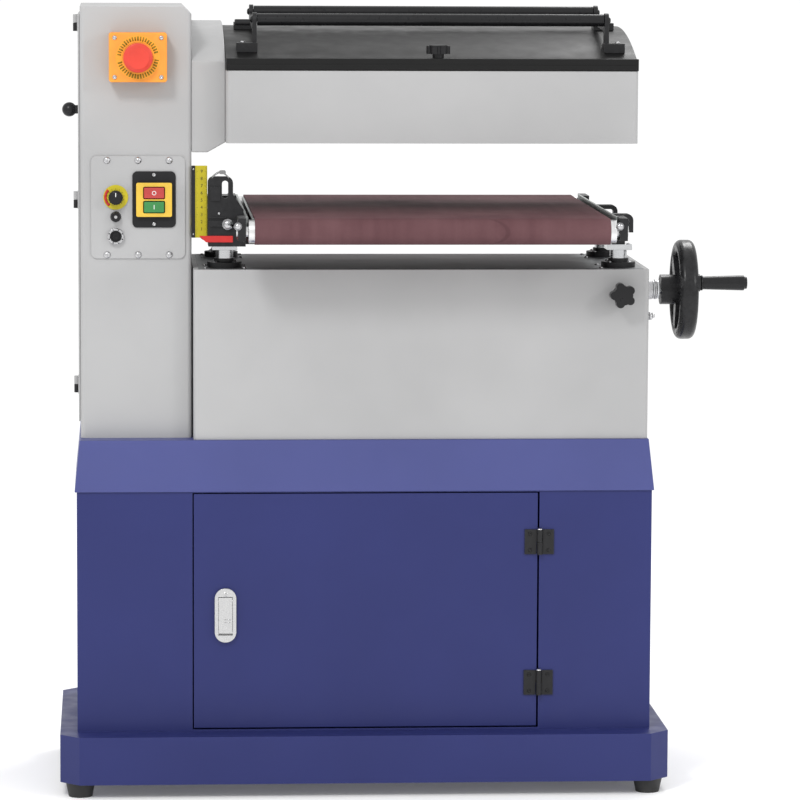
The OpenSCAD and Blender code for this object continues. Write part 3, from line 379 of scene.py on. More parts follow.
def add_lathe(bm, profile, centre, axis=(0, 0, 1), segments=48, closed=False, spin=0.0):
    """Revolves (radius, height) points about an axis through centre."""
    place = Matrix.Translation(centre) @ turned(axis)
    rings = []
    for radius, height in profile:
        if radius == 0:
            rings.append([bm.verts.new(place @ Vector((0, 0, height)))])
            continue
        ring = []
        for k in range(segments):
            a = spin + 2 * math.pi * k / segments
            ring.append(bm.verts.new(place @ Vector((radius * math.cos(a), radius * math.sin(a), height))))
        rings.append(ring)
    if closed:
        rings.append(rings[0])
    for low, high in zip(rings, rings[1:]):
        count = max(len(low), len(high))
        for i in range(count):
            j = (i + 1) % count
            loop = [low[i % len(low)], low[j % len(low)], high[j % len(high)], high[i % len(high)]]
            loop = list(dict.fromkeys(loop))
            if len(loop) > 2:
                bm.faces.new(loop)


def swapped(along, u, v, w):
    """A point whose w runs along the named axis, and u, v along the other two in order."""
    return {"x": (w, u, v), "y": (u, w, v), "z": (u, v, w)}[along]


def add_slab(bm, outline, start, end, along="y"):
    """A flat outline drawn out along an axis."""
    near = [bm.verts.new(swapped(along, u, v, start)) for u, v in outline]
    far = [bm.verts.new(swapped(along, u, v, end)) for u, v in outline]
    bm.faces.new(near)
    bm.faces.new(far[::-1])
    for i in range(len(outline)):
        j = (i + 1) % len(outline)
        bm.faces.new((near[i], far[i], far[j], near[j]))


def add_block(bm, low, high):
    add_slab(bm, [(low[0], low[2]), (high[0], low[2]), (high[0], high[2]), (low[0], high[2])],
             low[1], high[1])


def rounded(cu, cv, width, height, radius, steps=6):
    """Outline of a rounded rectangle."""
    points = []
    for quarter, (su, sv) in enumerate(((1, 1), (-1, 1), (-1, -1), (1, -1))):
        for k in range(steps + 1):
            a = math.pi / 2 * (quarter + k / steps)
            points.append((cu + su * (width / 2 - radius) + radius * math.cos(a),
                           cv + sv * (height / 2 - radius) + radius * math.sin(a)))
    return points


def circle(cu, cv, radius, steps=32):
    return [(cu + radius * math.cos(2 * math.pi * k / steps),
             cv + radius * math.sin(2 * math.pi * k / steps)) for k in range(steps)]


def from_curve(curve):
    """Bakes a curve or text datablock into a bmesh."""
    holder = bpy.data.objects.new("scratch", curve)
    bpy.context.scene.collection.objects.link(holder)
    graph = bpy.context.evaluated_depsgraph_get()
    mesh = bpy.data.meshes.new_from_object(holder.evaluated_get(graph))
    bpy.data.objects.remove(holder)
    bpy.data.curves.remove(curve)
    bm = bmesh.new()
    bm.from_mesh(mesh)
    bpy.data.meshes.remove(mesh)
    return bm


def pierced(outlines, start, end, along="y"):
    """A plate from one outer outline and any number of holes."""
    curve = bpy.data.curves.new("scratch", "CURVE")
    curve.dimensions = "2D"
    curve.fill_mode = "BOTH"
    curve.extrude = abs(end - start) / 2
    for outline in outlines:
        spline = curve.splines.new("POLY")
        spline.points.add(len(outline) - 1)
        for point, (u, v) in zip(spline.points, outline):
            point.co = (u, v, 0, 1)
        spline.use_cyclic_u = True
    bm = from_curve(curve)
    for vert in bm.verts:
        u, v, w = vert.co
        vert.co = swapped(along, u, v, w + (start + end) / 2)
    return bm


def add_dome_screw(bm, centre, axis, radius):
    """Button-head screw with a round-edged socket."""
    tall = radius * 0.62
    add_lathe(bm, [(0, tall * 0.4), (radius * 0.42, tall * 0.4), (radius * 0.48, tall),
                   (radius * 0.72, tall * 0.86), (radius * 0.92, tall * 0.5), (radius, 0), (0, 0)],
              centre, axis, 24)


def add_hex_bolt(bm, centre, axis, radius, tall, spin=0.0):
    """Hexagon head on a washer."""
    base = radius * 0.22
    add_lathe(bm, [(0, 0), (radius * 1.35, 0), (radius * 1.35, base), (0, base)], centre, axis, 32)
    add_lathe(bm, [(0, base), (radius, base), (radius, base + tall * 0.8), (radius * 0.82, base + tall),
                   (0, base + tall)], centre, axis, 6, spin=spin)


def piece(name, bm, material, body, edge=0.25 * MM):
    """Turns a bmesh into a finished piece that rides on a body."""
    bmesh.ops.remove_doubles(bm, verts=bm.verts, dist=1e-7)
    bmesh.ops.recalc_face_normals(bm, faces=bm.faces)
    mesh = bpy.data.meshes.new(name)
    bm.to_mesh(mesh)
    bm.free()
    mesh.polygons.foreach_set("use_smooth", [True] * len(mesh.polygons))
    mesh.materials.append(material)
    obj = bpy.data.objects.new(name, mesh)
    bpy.context.scene.collection.objects.link(obj)
    if edge:
        round_edges(obj, edge)
    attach(obj, body)
    return obj


# ---------- Column front ----------

column_low, column_high = corners("column_shell")
panel_y = column_low.y
plate_y = panel_y - 2.5 * MM


def emergency_stop():
    low, high = corners("emergency_stop_box")
    centre = (low + high) / 2
    front = low.y
    bm = bmesh.new()
    add_lathe(bm, [(21.2 * MM, 0), (30.5 * MM, 0), (30.5 * MM, 0.5 * MM), (21.2 * MM, 0.5 * MM)],
              (centre.x, front, centre.z), (0, -1, 0), 64, closed=True)
    piece("stop_legend_ring", bm, legend_plastic, "stand", 0.1 * MM)
    marks = bmesh.new()
    chance = random.Random(11)
    for k in range(44):
        if k % 22 in (0, 1):
            continue
        a = 2 * math.pi * k / 44
        inner = 22.6 * MM + chance.uniform(0, 1.0) * MM
        outer = 29.4 * MM - chance.uniform(0, 1.2) * MM
        half = chance.uniform(0.8, 1.25) * MM
        spoke = Vector((math.cos(a), math.sin(a)))
        side = Vector((-spoke.y, spoke.x)) * half
        outline = [spoke * inner - side, spoke * outer - side, spoke * outer + side, spoke * inner + side]
        add_slab(marks, [(centre.x + p.x, centre.z + p.y) for p in outline],
                 front - 0.65 * MM, front - 0.4 * MM)
    piece("stop_legend_marks", marks, olive_ink, "stand", None)
    screws = bmesh.new()
    for sx in (-1, 1):
        for sz in (-1, 1):
            spot = (centre.x + sx * 32 * MM, front, centre.z + sz * 27 * MM)
            add_dome_screw(screws, spot, (0, -1, 0), 3.3 * MM)
    piece("stop_box_screws", screws, zinc, "stand", None)
    button_front = corners("emergency_stop_button")[0].y
    cap = bmesh.new()
    dome = [(20.2 * MM * math.cos(a), 3.2 * MM * math.sin(a)) for a in
            (math.pi / 2 * k / 10 for k in range(10))]
    add_lathe(cap, [(0, 0), (20.2 * MM, 0)] + dome[1:] + [(0, 3.2 * MM)],
              (centre.x, button_front + 4.0 * MM, centre.z), (0, -1, 0), 64)
    piece("stop_mushroom_dome", cap, red_plastic, "stop_mushroom", None)


def dial():
    knob_low, knob_high = corners("speed_knob")
    centre = (knob_low + knob_high) / 2
    face = panel_y - 4.0 * MM
    bm = bmesh.new()
    add_lathe(bm, [(0, 0), (17.2 * MM, 0), (17.2 * MM, 0.3 * MM), (0, 0.3 * MM)],
              (centre.x, face, centre.z), (0, -1, 0), 64)
    piece("dial_plate", bm, yellow_print, "stand", 0.1 * MM)
    arc = bmesh.new()
    for k in range(14):
        a0 = math.radians(135 + 7 * k)
        a1 = math.radians(135 + 7 * (k + 1))
        outline = [(centre.x + r * MM * math.cos(a), centre.z + r * MM * math.sin(a))
                   for r, a in ((12.2, a0), (16.0, a0), (16.0, a1), (12.2, a1))]
        add_slab(arc, outline, face - 0.38 * MM, face - 0.2 * MM)
    piece("dial_red_arc", arc, pointer_red, "stand", None)
    ticks = bmesh.new()
    for k in range(11):
        a = math.radians(225 - 27 * k)
        spoke = Vector((math.cos(a), math.sin(a)))
        side = Vector((-spoke.y, spoke.x)) * 0.3 * MM
        outline = [spoke * 10.6 * MM - side, spoke * 12.0 * MM - side, spoke * 12.0 * MM + side,
                   spoke * 10.6 * MM + side]
        add_slab(ticks, [(centre.x + p.x, centre.z + p.y) for p in outline],
                 face - 0.38 * MM, face - 0.2 * MM)
    piece("dial_ticks", ticks, black_ink, "stand", None)
    grip = bmesh.new()
    outline = []
    for k in range(72):
        a = 2 * math.pi * k / 72
        r = (9.9 + 0.35 * math.cos(18 * a)) * MM
        outline.append((centre.x + r * math.cos(a), centre.z + r * math.sin(a)))
    add_slab(grip, outline, knob_low.y + 3 * MM, knob_low.y + 12.5 * MM)
    piece("dial_knob_grip", grip, black_plastic, "speed_knob", 0.4 * MM)
    line = bmesh.new()
    add_block(line, (centre.x - 0.5 * MM, knob_low.y - 0.25 * MM, centre.z + 1.5 * MM),
              (centre.x + 0.5 * MM, knob_low.y + 0.3 * MM, centre.z + 7 * MM))
    piece("dial_knob_line", line, white_ink, "speed_knob", 0.1 * MM)
    fuse = bmesh.new()
    spot = (centre.x, panel_y - 2.5 * MM, centre.z - 27 * MM)
    add_lathe(fuse, [(0, 0), (7.4 * MM, 0), (7.4 * MM, 2 * MM), (6.6 * MM, 2.2 * MM), (6.4 * MM, 9.0 * MM),
                     (5.6 * MM, 10.2 * MM), (2.6 * MM, 10.2 * MM), (2.2 * MM, 9.4 * MM), (0, 9.4 * MM)],
              spot, (0, -1, 0), 40)
    piece("fuse_cap", fuse, black_plastic, "stand", 0.2 * MM)
    socket_spot = Vector((centre.x, panel_y - 2.5 * MM, centre.z - 54 * MM))
    ring = bmesh.new()
    add_lathe(ring, [(8.0 * MM, 0), (11.6 * MM, 0), (11.6 * MM, 6.0 * MM), (10.8 * MM, 7.0 * MM),
                     (8.4 * MM, 7.0 * MM), (8.0 * MM, 6.4 * MM)], socket_spot, (0, -1, 0), 48, closed=True)
    piece("socket_ring", ring, zinc, "stand", 0.2 * MM)
    notches = bmesh.new()
    for k in range(8):
        a = 2 * math.pi * (k + 0.5) / 8
        spot = socket_spot + Vector((9.8 * MM * math.cos(a), -6.9 * MM, 9.8 * MM * math.sin(a)))
        add_lathe(notches, [(0, 0), (1.0 * MM, 0), (1.0 * MM, 0.35 * MM), (0, 0.35 * MM)],
                  spot, (0, -1, 0), 12)
    add_lathe(notches, [(0, 0), (7.9 * MM, 0), (7.9 * MM, 3.4 * MM), (4.6 * MM, 3.4 * MM),
                        (4.2 * MM, 5.4 * MM), (2.2 * MM, 5.4 * MM), (2.0 * MM, 4.0 * MM), (0, 4.0 * MM)],
              socket_spot, (0, -1, 0), 40)
    piece("socket_insert", notches, dull_plastic, "stand", 0.15 * MM)


def switch():
    low, high = corners("switch_plate")
    centre = (low + high) / 2
    stop, start = middle("stop_button"), middle("start_button")
    face = low.y
    holes = [rounded(b.x, b.z, 30.4 * MM, 17.4 * MM, 2.2 * MM) for b in (stop, start)]
    bm = pierced([rounded(centre.x, centre.z, 49.4 * MM, 47.2 * MM, 2.5 * MM)] + holes,
                 face - 0.6 * MM, face)
    piece("switch_surround", bm, yellow_plastic, "stand", 0.2 * MM)
    screws = bmesh.new()
    for sz in (-1, 1):
        spot = (centre.x, plate_y - 2.5 * MM, centre.z + sz * 34 * MM)
        add_dome_screw(screws, spot, (0, -1, 0), 2.9 * MM)
    piece("switch_screws", screws, zinc, "stand", None)
    ring = bmesh.new()
    front = corners("stop_button")[0].y
    add_lathe(ring, [(2.1 * MM, -0.2 * MM), (3.0 * MM, -0.2 * MM),
                     (3.0 * MM, 0.25 * MM), (2.1 * MM, 0.25 * MM)],
              (stop.x, front, stop.z), (0, -1, 0), 32, closed=True)
    piece("stop_symbol", ring, white_ink, "stop_key", None)
    bar = bmesh.new()
    add_block(bar, (start.x - 0.45 * MM, front - 0.25 * MM, start.z - 3 * MM),
              (start.x + 0.45 * MM, front + 0.2 * MM, start.z + 3 * MM))
    piece("start_symbol", bar, white_ink, "start_key", 0.1 * MM)


def scale():
    low, high = corners("depth_scale")
    left = low.x + 6.0 * MM
    front = low.y
    strip = bmesh.new()
    add_slab(strip, rounded((low.x + left - 1 * MM) / 2 - 0.2 * MM, (low.z + high.z) / 2, 5.2 * MM,
                            high.z - low.z, 0.6 * MM), front - 0.5 * MM, front + 1.0 * MM)
    piece("scale_backing", strip, black_paint, "stand", 0.15 * MM)
    ticks = bmesh.new()
    count = 96
    step = (high.z - low.z - 4 * MM) / count
    for k in range(count + 1):
        z = low.z + 2 * MM + k * step
        reach = 3.6 if k % 10 == 0 else 2.6 if k % 5 == 0 else 1.6
        add_block(ticks, (high.x - reach * MM, front - 0.12 * MM, z - 0.12 * MM),
                  (high.x - 0.4 * MM, front + 0.05 * MM, z + 0.12 * MM))
        if k % 2 == 0:
            add_block(ticks, (left, front - 0.12 * MM, z - 0.12 * MM),
                      (left + reach * 0.7 * MM, front + 0.05 * MM, z + 0.12 * MM))
    piece("scale_ticks", ticks, black_ink, "stand", None)
    digits = bmesh.new()
    for k in range(1, 10):
        text = bpy.data.curves.new("digit", "FONT")
        text.body = str(k)
        text.size = 6.2 * MM
        text.extrude = 0.06 * MM
        text.align_x = "CENTER"
        text.align_y = "CENTER"
        glyph = from_curve(text)
        spot = Vector(((left + high.x) / 2, front - 0.06 * MM, low.z + 2 * MM + 10 * k * step))
        glyph.transform(Matrix.Translation(spot) @ Matrix.Rotation(math.pi / 2, 4, "X"))
        mesh = bpy.data.meshes.new("scratch")
        glyph.to_mesh(mesh)
        glyph.free()
        digits.from_mesh(mesh)
        bpy.data.meshes.remove(mesh)
    piece("scale_digits", digits, black_ink, "stand", None)
    rivets = bmesh.new()
    for z in (low.z + 5 * MM, high.z - 5 * MM):
        add_dome_screw(rivets, (low.x + 2.4 * MM, front - 0.4 * MM, z), (0, -1, 0), 1.4 * MM)
    piece("scale_rivets", rivets, zinc, "stand", None)


emergency_stop()
dial()
switch()
scale()

# ---------- Cabinet ----------


def hinge_screws():
    low, high = corners("cabinet_door_hinges")
    door_low, door_high = corners("cabinet_door")
    axis_x = door_high.x + 2.6 * MM
    leaf_y = door_low.y - 2.5 * MM
    frame_side = bmesh.new()
    door_side = bmesh.new()
    for z in (low.z + 17.5 * MM, high.z - 17.5 * MM):
        for dz in (-11.5, 11.5):
            add_dome_screw(frame_side, (axis_x + 12.5 * MM, leaf_y, z + dz * MM), (0, -1, 0), 2.7 * MM)
            add_dome_screw(door_side, (axis_x - 13.5 * MM, leaf_y, z + dz * MM), (0, -1, 0), 2.7 * MM)
    piece("hinge_screws_frame", frame_side, black_paint, "stand", None)
    piece("hinge_screws_door", door_side, black_paint, "cabinet_door", None)
    caps = bmesh.new()
    for z in (low.z + 35 * MM, high.z):
        add_lathe(caps, [(0, 0), (4.1 * MM, 0), (4.1 * MM, 0.8 * MM), (2.8 * MM, 2.2 * MM), (0, 2.6 * MM)],
                  (axis_x, low.y + 4 * MM, z), (0, 0, 1), 24)
    piece("hinge_pin_heads", caps, zinc, "cabinet_door", None)


def latch_details():
    low, high = corners("latch_body")
    centre = (low + high) / 2
    front = low.y
    key = bmesh.new()
    add_lathe(key, [(0, 0.5 * MM), (3.0 * MM, 0.5 * MM), (3.4 * MM, 0), (4.4 * MM, -0.3 * MM),
                    (0, -0.3 * MM)],
              (centre.x, front, high.z - 8.5 * MM), (0, -1, 0), 32)
    piece("latch_boss", key, satin_zinc, "cabinet_door", None)
    rib = bmesh.new()
    paddle_low = corners("latch_paddle")[0]
    for k in range(2):
        z = paddle_low.z + (15 + 4 * k) * MM
        add_slab(rib, rounded(centre.x + 3.2 * MM, z, 9.5 * MM, 1.0 * MM, 0.45 * MM, 3),
                 paddle_low.y - 0.35 * MM, paddle_low.y + 0.5 * MM)
    piece("latch_paddle_ribs", rib, satin_zinc, "latch_paddle", None)


def cabinet_back():
    """Louvred access panel behind the motor, with its screws."""
    low, high = corners("cabinet_body")
    back = high.y
    panel = bmesh.new()
    cx, cz = (low.x + high.x) / 2 - 0.10, (low.z + high.z) / 2
    width, height = 0.42, 0.25
    add_slab(panel, rounded(cx, cz, width, height, 6 * MM), back - 0.5 * MM, back + 1.5 * MM)
    piece("rear_access_panel", panel, blue_paint, "stand", 0.5 * MM)
    louvres = bmesh.new()
    for column in (-1, 1):
        for row in range(8):
            z = cz - 70 * MM + row * 20 * MM
            x0 = cx + column * 95 * MM - 60 * MM
            x1 = x0 + 120 * MM
            profile = [(back + 1.2 * MM, z), (back + 5.5 * MM, z - 1.0 * MM),
                       (back + 5.5 * MM, z + 0.4 * MM), (back + 3.8 * MM, z + 6 * MM),
                       (back + 1.2 * MM, z + 9 * MM)]
            add_slab(louvres, profile, x0, x1, "x")
    piece("rear_louvres", louvres, blue_paint, "stand", 0.4 * MM)
    screws = bmesh.new()
    for sx in (-1, 0, 1):
        for sz in (-1, 1):
            spot = (cx + sx * (width / 2 - 12 * MM), back + 1.5 * MM, cz + sz * (height / 2 - 10 * MM))
            add_dome_screw(screws, spot, (0, 1, 0), 3.6 * MM)
    column_back = column_high.y
    for x in (column_low.x + 12 * MM, column_high.x - 12 * MM):
        for k in range(4):
            z = column_low.z + 50 * MM + k * 165 * MM
            add_dome_screw(screws, (x, column_back, z), (0, 1, 0), 3.4 * MM)
    piece("rear_panel_screws", screws, zinc, "stand", None)


hinge_screws()
latch_details()
cabinet_back()

# ---------- Base box ----------

lift_low, lift_high = corners("lift_columns")
PLATE_HALF = 17.5 * MM
LIFT_X = (lift_low.x + PLATE_HALF, lift_high.x - PLATE_HALF)
LIFT_Y = (lift_low.y + PLATE_HALF, lift_high.y - PLATE_HALF)
base_low, base_high = corners("base_box")


def base_top():
    """Unpainted steel top sheet inside the box's folded rim."""
    rim = 7 * MM
    outlines = [rounded((base_low.x + base_high.x) / 2, (base_low.y + base_high.y) / 2,
                        base_high.x - base_low.x - 2 * rim, base_high.y - base_low.y - 2 * rim, 4 * MM)]
    outlines += [circle(x, y, 22 * MM) for x in LIFT_X for y in LIFT_Y]
    bm = pierced(outlines, base_high.z - 0.2 * MM, base_high.z + 0.6 * MM, "z")
    piece("base_top_sheet", bm, table_steel, "stand", 0.2 * MM)
    screws = bmesh.new()
    for x in LIFT_X:
        for y in LIFT_Y:
            for sx, sy in ((-1, -1), (1, -1), (1, 1), (-1, 1)):
                spot = (x + sx * 27 * MM, y + sy * 27 * MM, base_high.z + 0.5 * MM)
                if spot[0] < base_high.x - 12 * MM:
                    add_dome_screw(screws, spot, (0, 0, 1), 3.2 * MM)
    piece("base_top_screws", screws, zinc, "stand", None)


def base_side():
    shaft = middle("handwheel_shaft")
    bolt = bmesh.new()
    spot = Vector((base_high.x, base_low.y + 20 * MM, shaft.z - 33 * MM))
    add_hex_bolt(bolt, spot, (1, 0, 0), 5.4 * MM, 6.0 * MM)
    add_lathe(bolt, [(0, 0), (2.6 * MM, 0), (2.6 * MM, 3.4 * MM), (2.0 * MM, 4.0 * MM), (0, 4.0 * MM)],
              spot + Vector((6.2 * MM, 0, 0)), (1, 0, 0), 20)
    piece("base_side_bolt", bolt, zinc, "stand", None)
    lock = middle("height_lock_knob")
    washer = bmesh.new()
    add_lathe(washer, [(4.6 * MM, 0), (10 * MM, 0), (10 * MM, 1.2 * MM), (9 * MM, 1.8 * MM),
                       (4.6 * MM, 1.8 * MM)],
              (lock.x, base_low.y, lock.z), (0, -1, 0), 32, closed=True)
    piece("lock_knob_washer", washer, zinc, "stand", 0.2 * MM)


base_top()
base_side()

# ---------- Table ----------

table_low, table_high = corners("table_brackets")
bracket_front = corners("depth_pointer")[1].y
belt_high = corners("conveyor_belt")[1]
roller_low, roller_high = corners("front_roller")


def tall_bracket():
    top = table_high.z
    centre_x = table_low.x + 17.5 * MM
    clip = bmesh.new()
    arch = [(centre_x + (-12 + 24 * k / 12) * MM, top - 1 * MM + 7.5 * MM * math.sin(math.pi * k / 12))
            for k in range(13)]
    arch_inner = [(x, z - 2.2 * MM) for x, z in arch[::-1]]
    add_slab(clip, arch + arch_inner, bracket_front - 1 * MM, bracket_front + 12 * MM)
    add_slab(clip, rounded(centre_x + 3 * MM, top + 5.6 * MM, 9 * MM, 5 * MM, 2 * MM),
             bracket_front - 2 * MM, bracket_front + 9 * MM)
    piece("bracket_clip", clip, dark_zinc, "table", 0.3 * MM)
    ribs = bmesh.new()
    low = corners("depth_pointer")[1].z
    add_slab(ribs, rounded(centre_x - 4 * MM, low + 25 * MM, 24 * MM, 1.6 * MM, 0.7 * MM, 3),
             bracket_front - 1.6 * MM, bracket_front + 0.5 * MM)
    add_slab(ribs, rounded(centre_x + 7 * MM, low + 17 * MM, 46 * MM, 8 * MM, 1.6 * MM, 3),
             bracket_front - 4 * MM, bracket_front + 0.5 * MM)
    add_slab(ribs, rounded(centre_x - 7 * MM, low + 58 * MM, 14 * MM, 20 * MM, 2 * MM, 3),
             bracket_front - 2.2 * MM, bracket_front + 0.5 * MM)
    piece("bracket_ribs", ribs, black_paint, "table", 0.4 * MM)
    bolts = bmesh.new()
    spot = Vector((centre_x + 10 * MM, bracket_front - 3.4 * MM, low + 16 * MM))
    add_hex_bolt(bolts, spot, (0, -1, 0), 5.6 * MM, 4.6 * MM, spin=0.3)
    add_dome_screw(bolts, (centre_x - 2 * MM, bracket_front - 1.4 * MM, low + 31 * MM),
                   (0, -1, 0), 1.8 * MM)
    add_hex_bolt(bolts, spot + Vector((8 * MM, 6 * MM, 0)), (1, 0, 0), 4.6 * MM, 5.0 * MM)
    piece("bracket_bolts", bolts, zinc, "table", None)


def bearing_block_details():
    block_y = belt_high.y - 18 * MM
    roller_z = (roller_low.z + roller_high.z) / 2
    screws = bmesh.new()
    for x in (table_low.x + 38.5 * MM, roller_high.x - 13 * MM):
        for side in (-1, 1):
            spot = Vector((x, side * (block_y + 15.2 * MM), roller_z + 8 * MM))
            add_hex_bolt(screws, spot, (0, side, 0), 4.0 * MM, 3.6 * MM, spin=0.2)
    piece("roller_tension_screws", screws, zinc, "table", None)
    washers = bmesh.new()
    for side in (-1, 1):
        add_lathe(washers, [(7.2 * MM, 0), (11 * MM, 0), (11 * MM, 1.2 * MM), (7.2 * MM, 1.2 * MM)],
                  (roller_high.x - 4.2 * MM, side * block_y, roller_z), (1, 0, 0), 32, closed=True)
    piece("roller_end_washers", washers, zinc, "table", 0.15 * MM)


def hook_screws():
    screws = bmesh.new()
    for y in LIFT_Y:
        spot = Vector((LIFT_X[1] + 2 * MM, y, lift_high.z))
        add_hex_bolt(screws, spot + Vector((0, 0, 9.2 * MM)), (0, 0, 1), 5.2 * MM, 5 * MM)
        for sx in (-1, 1):
            add_dome_screw(screws, (LIFT_X[1] + sx * 12 * MM, y - 16 * MM, lift_high.z),
                           (0, 0, 1), 2.4 * MM)
    for y in LIFT_Y:
        spot = Vector((LIFT_X[0] - 5 * MM, y, lift_high.z))
        add_dome_screw(screws, spot + Vector((-9 * MM, -15.5 * MM, 0)), (0, 0, 1), 2.4 * MM)
    piece("column_plate_screws", screws, zinc, "table", None)


tall_bracket()
bearing_block_details()
hook_screws()

# ---------- Head ----------

hood_low, hood_high = corners("hood")
arms_low, arms_high = corners("return_roller_brackets")
front_return = middle("return_roller_front")
rear_return = middle("return_roller_rear")


def block_top(y):
    """Height of a bracket's foot block on the hood: the hood's arc plus 9 mm."""
    radius = 740 * MM
    apex = hood_low.y + 264 * MM
    return hood_high.z - radius + math.sqrt(radius * radius - (y - apex) ** 2) + 9 * MM


def hood_details():
    strip = bmesh.new()
    y = hood_low.y
    z = corners("drum_housing")[1].z
    profile = [(y - 1.2 * MM, z + 2 * MM), (y + 1 * MM, z + 2 * MM), (y + 1 * MM, z + 8.5 * MM),
               (y - 0.6 * MM, z + 8.5 * MM), (y - 1.2 * MM, z + 7.6 * MM)]
    add_slab(strip, profile, hood_low.x + 3 * MM, hood_high.x - 3 * MM, "x")
    piece("hood_front_trim", strip, hood_paint, "hood", 0.3 * MM)
    stub = bmesh.new()
    add_lathe(stub, [(0, 0), (4.4 * MM, 0), (4.4 * MM, 20 * MM), (3.8 * MM, 21.5 * MM), (0, 21.5 * MM)],
              (arms_low.x + 19 * MM, front_return.y, front_return.z - 4 * MM), (-1, 0, 0), 32)
    piece("roller_side_peg", stub, black_plastic, "hood", 0.3 * MM)
    screws = bmesh.new()
    for x in (arms_low.x + 9 * MM, arms_high.x - 9 * MM):
        for roller in (front_return, rear_return):
            add_dome_screw(screws, (x, roller.y, block_top(roller.y)), (0, 0, 1), 4.0 * MM)
    piece("bracket_foot_screws", screws, zinc, "hood", None)
    caps = bmesh.new()
    for name in ("return_roller_front", "return_roller_rear"):
        low, high = corners(name)
        centre = (low + high) / 2
        for x, side in ((low.x + 3 * MM, -1), (high.x - 3 * MM, 1)):
            add_lathe(caps, [(0, 0), (4.6 * MM, 0), (4.6 * MM, 1.0 * MM), (3.4 * MM, 2.4 * MM),
                             (0, 2.8 * MM)],
                      (x, centre.y, centre.z), (side, 0, 0), 24)
    piece("return_axle_caps", caps, black_plastic, "hood", None)


def housing_details():
    low, high = corners("drum_housing")
    screws = bmesh.new()
    for x in (low.x + 60 * MM, high.x - 60 * MM):
        add_dome_screw(screws, (x, high.y, low.z + 22 * MM), (0, 1, 0), 3.4 * MM)
        add_dome_screw(screws, (x, high.y, high.z - 22 * MM), (0, 1, 0), 3.4 * MM)
    port_low, port_high = corners("dust_port")
    port = (port_low + port_high) / 2
    for sx in (-1, 1):
        for sz in (-1, 1):
            add_dome_screw(screws, (port.x + sx * 52 * MM, high.y + 3 * MM, port.z + sz * 42 * MM),
                           (0, 1, 0), 3.0 * MM)
    for z in (low.z + 16 * MM, high.z - 16 * MM):
        for y in (low.y + 40 * MM, high.y - 40 * MM):
            add_dome_screw(screws, (high.x, y, z), (1, 0, 0), 3.4 * MM)
    piece("housing_screws", screws, zinc, "stand", None)
    bead = bmesh.new()
    add_lathe(bead, [(50.0 * MM, 0), (51.6 * MM, 1.2 * MM), (51.6 * MM, 2.4 * MM), (50.0 * MM, 3.6 * MM)],
              (port.x, port_high.y - 14 * MM, port.z), (0, 1, 0), 64)
    piece("dust_port_bead", bead, grey_paint, "stand", None)


hood_details()
housing_details()

# ---------- Handwheel ----------


def wheel_details():
    wheel_right = corners("handwheel")[1].x
    shaft_end = corners("handwheel_shaft")[1].x
    hub = middle("handwheel_shaft")
    cap = bmesh.new()
    add_lathe(cap, [(0, 0), (7 * MM, 0), (7 * MM, 2 * MM), (5.6 * MM, 3.2 * MM), (0, 3.4 * MM)],
              (shaft_end + 5.8 * MM, hub.y, hub.z), (1, 0, 0), 32)
    piece("wheel_hub_cap", cap, zinc, "handwheel", 0.3 * MM)
    collar = bmesh.new()
    add_lathe(collar, [(13.1 * MM, 0), (14 * MM, 0.8 * MM), (14 * MM, 3.4 * MM), (13.1 * MM, 4.2 * MM)],
              (base_high.x + 15 * MM, hub.y, hub.z), (1, 0, 0), 40)
    piece("wheel_collar_ring", collar, zinc, "handwheel", None)
    handle = middle("crank_handle")
    rings = bmesh.new()
    add_lathe(rings, [(9.0 * MM, 0), (10.6 * MM, 0.6 * MM), (10.6 * MM, 2.4 * MM), (9.0 * MM, 3.0 * MM)],
              (wheel_right + 1.0 * MM, handle.y, handle.z), (1, 0, 0), 40)
    piece("handle_ring", rings, black_plastic, "crank", None)


wheel_details()

# ---------- Stage, light and camera ----------


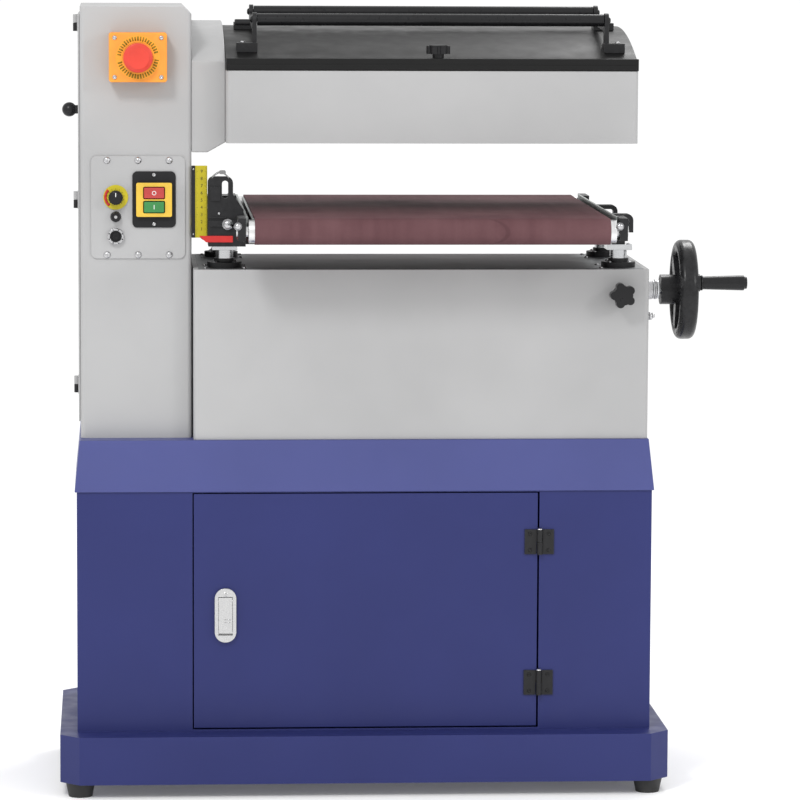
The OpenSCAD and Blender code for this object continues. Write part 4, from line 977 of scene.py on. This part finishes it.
def stage():
    bm = bmesh.new()
    add_slab(bm, rounded(0, 0, 160, 160, 20), -0.02, 0.0, "z")
    mesh = bpy.data.meshes.new("floor")
    bmesh.ops.recalc_face_normals(bm, faces=bm.faces)
    bm.to_mesh(mesh)
    bm.free()
    floor = bpy.data.objects.new("floor", mesh)
    bpy.context.scene.collection.objects.link(floor)
    look = Look("pale_floor", (0.93, 0.93, 0.93), 0.9)
    cloud = look.noise(1.5, 2.0)
    look.paint(look.blend(cloud, (0.92, 0.92, 0.92), (0.94, 0.94, 0.94)))
    look.shader.inputs["Emission Color"].default_value = (1, 1, 1, 1)
    look.shader.inputs["Emission Strength"].default_value = 0.10
    look.shader.inputs["Specular IOR Level"].default_value = 0.0
    mesh.materials.append(look.material)


def area_light(name, spot, aim, size, power):
    data = bpy.data.lights.new(name, "AREA")
    data.shape = "DISK"
    data.size = size
    data.energy = power
    lamp = bpy.data.objects.new(name, data)
    lamp.location = spot
    lamp.rotation_euler = (Vector(aim) - Vector(spot)).to_track_quat("-Z", "Y").to_euler()
    bpy.context.scene.collection.objects.link(lamp)


def lights():
    world = bpy.data.worlds.new("studio")
    bpy.context.scene.world = world
    world.use_nodes = True
    back = world.node_tree.nodes["Background"]
    back.inputs["Color"].default_value = (1, 1, 1, 1)
    back.inputs["Strength"].default_value = 1.0
    area_light("key", (-1.3, -2.6, 2.9), (0, 0, 0.7), 0.7, 46)
    area_light("fill", (2.2, -2.2, 1.9), (0, 0, 0.7), 0.6, 14)
    area_light("rim", (0.9, 1.6, 2.6), (0, 0, 0.9), 0.9, 20)


def camera():
    """Far off and long, a little left of the machine and above its top, looking slightly down."""
    data = bpy.data.cameras.new("camera")
    data.lens = 193.4
    data.sensor_width = 36.0
    data.clip_end = 300.0
    eye = bpy.data.objects.new("camera", data)
    yaw, pitch, roll = (math.radians(a) for a in (3.83, 6.37, 0.27))
    ahead = Vector((math.sin(yaw) * math.cos(pitch), math.cos(yaw) * math.cos(pitch), -math.sin(pitch)))
    turn = ahead.to_track_quat("-Z", "Y").to_matrix().to_4x4() @ Matrix.Rotation(roll, 4, "Z")
    eye.matrix_world = Matrix.Translation((-0.404, -6.077, 1.214)) @ turn
    bpy.context.scene.collection.objects.link(eye)
    bpy.context.scene.camera = eye


stage()
lights()
camera()
bpy.context.scene.view_settings.view_transform = "Standard"
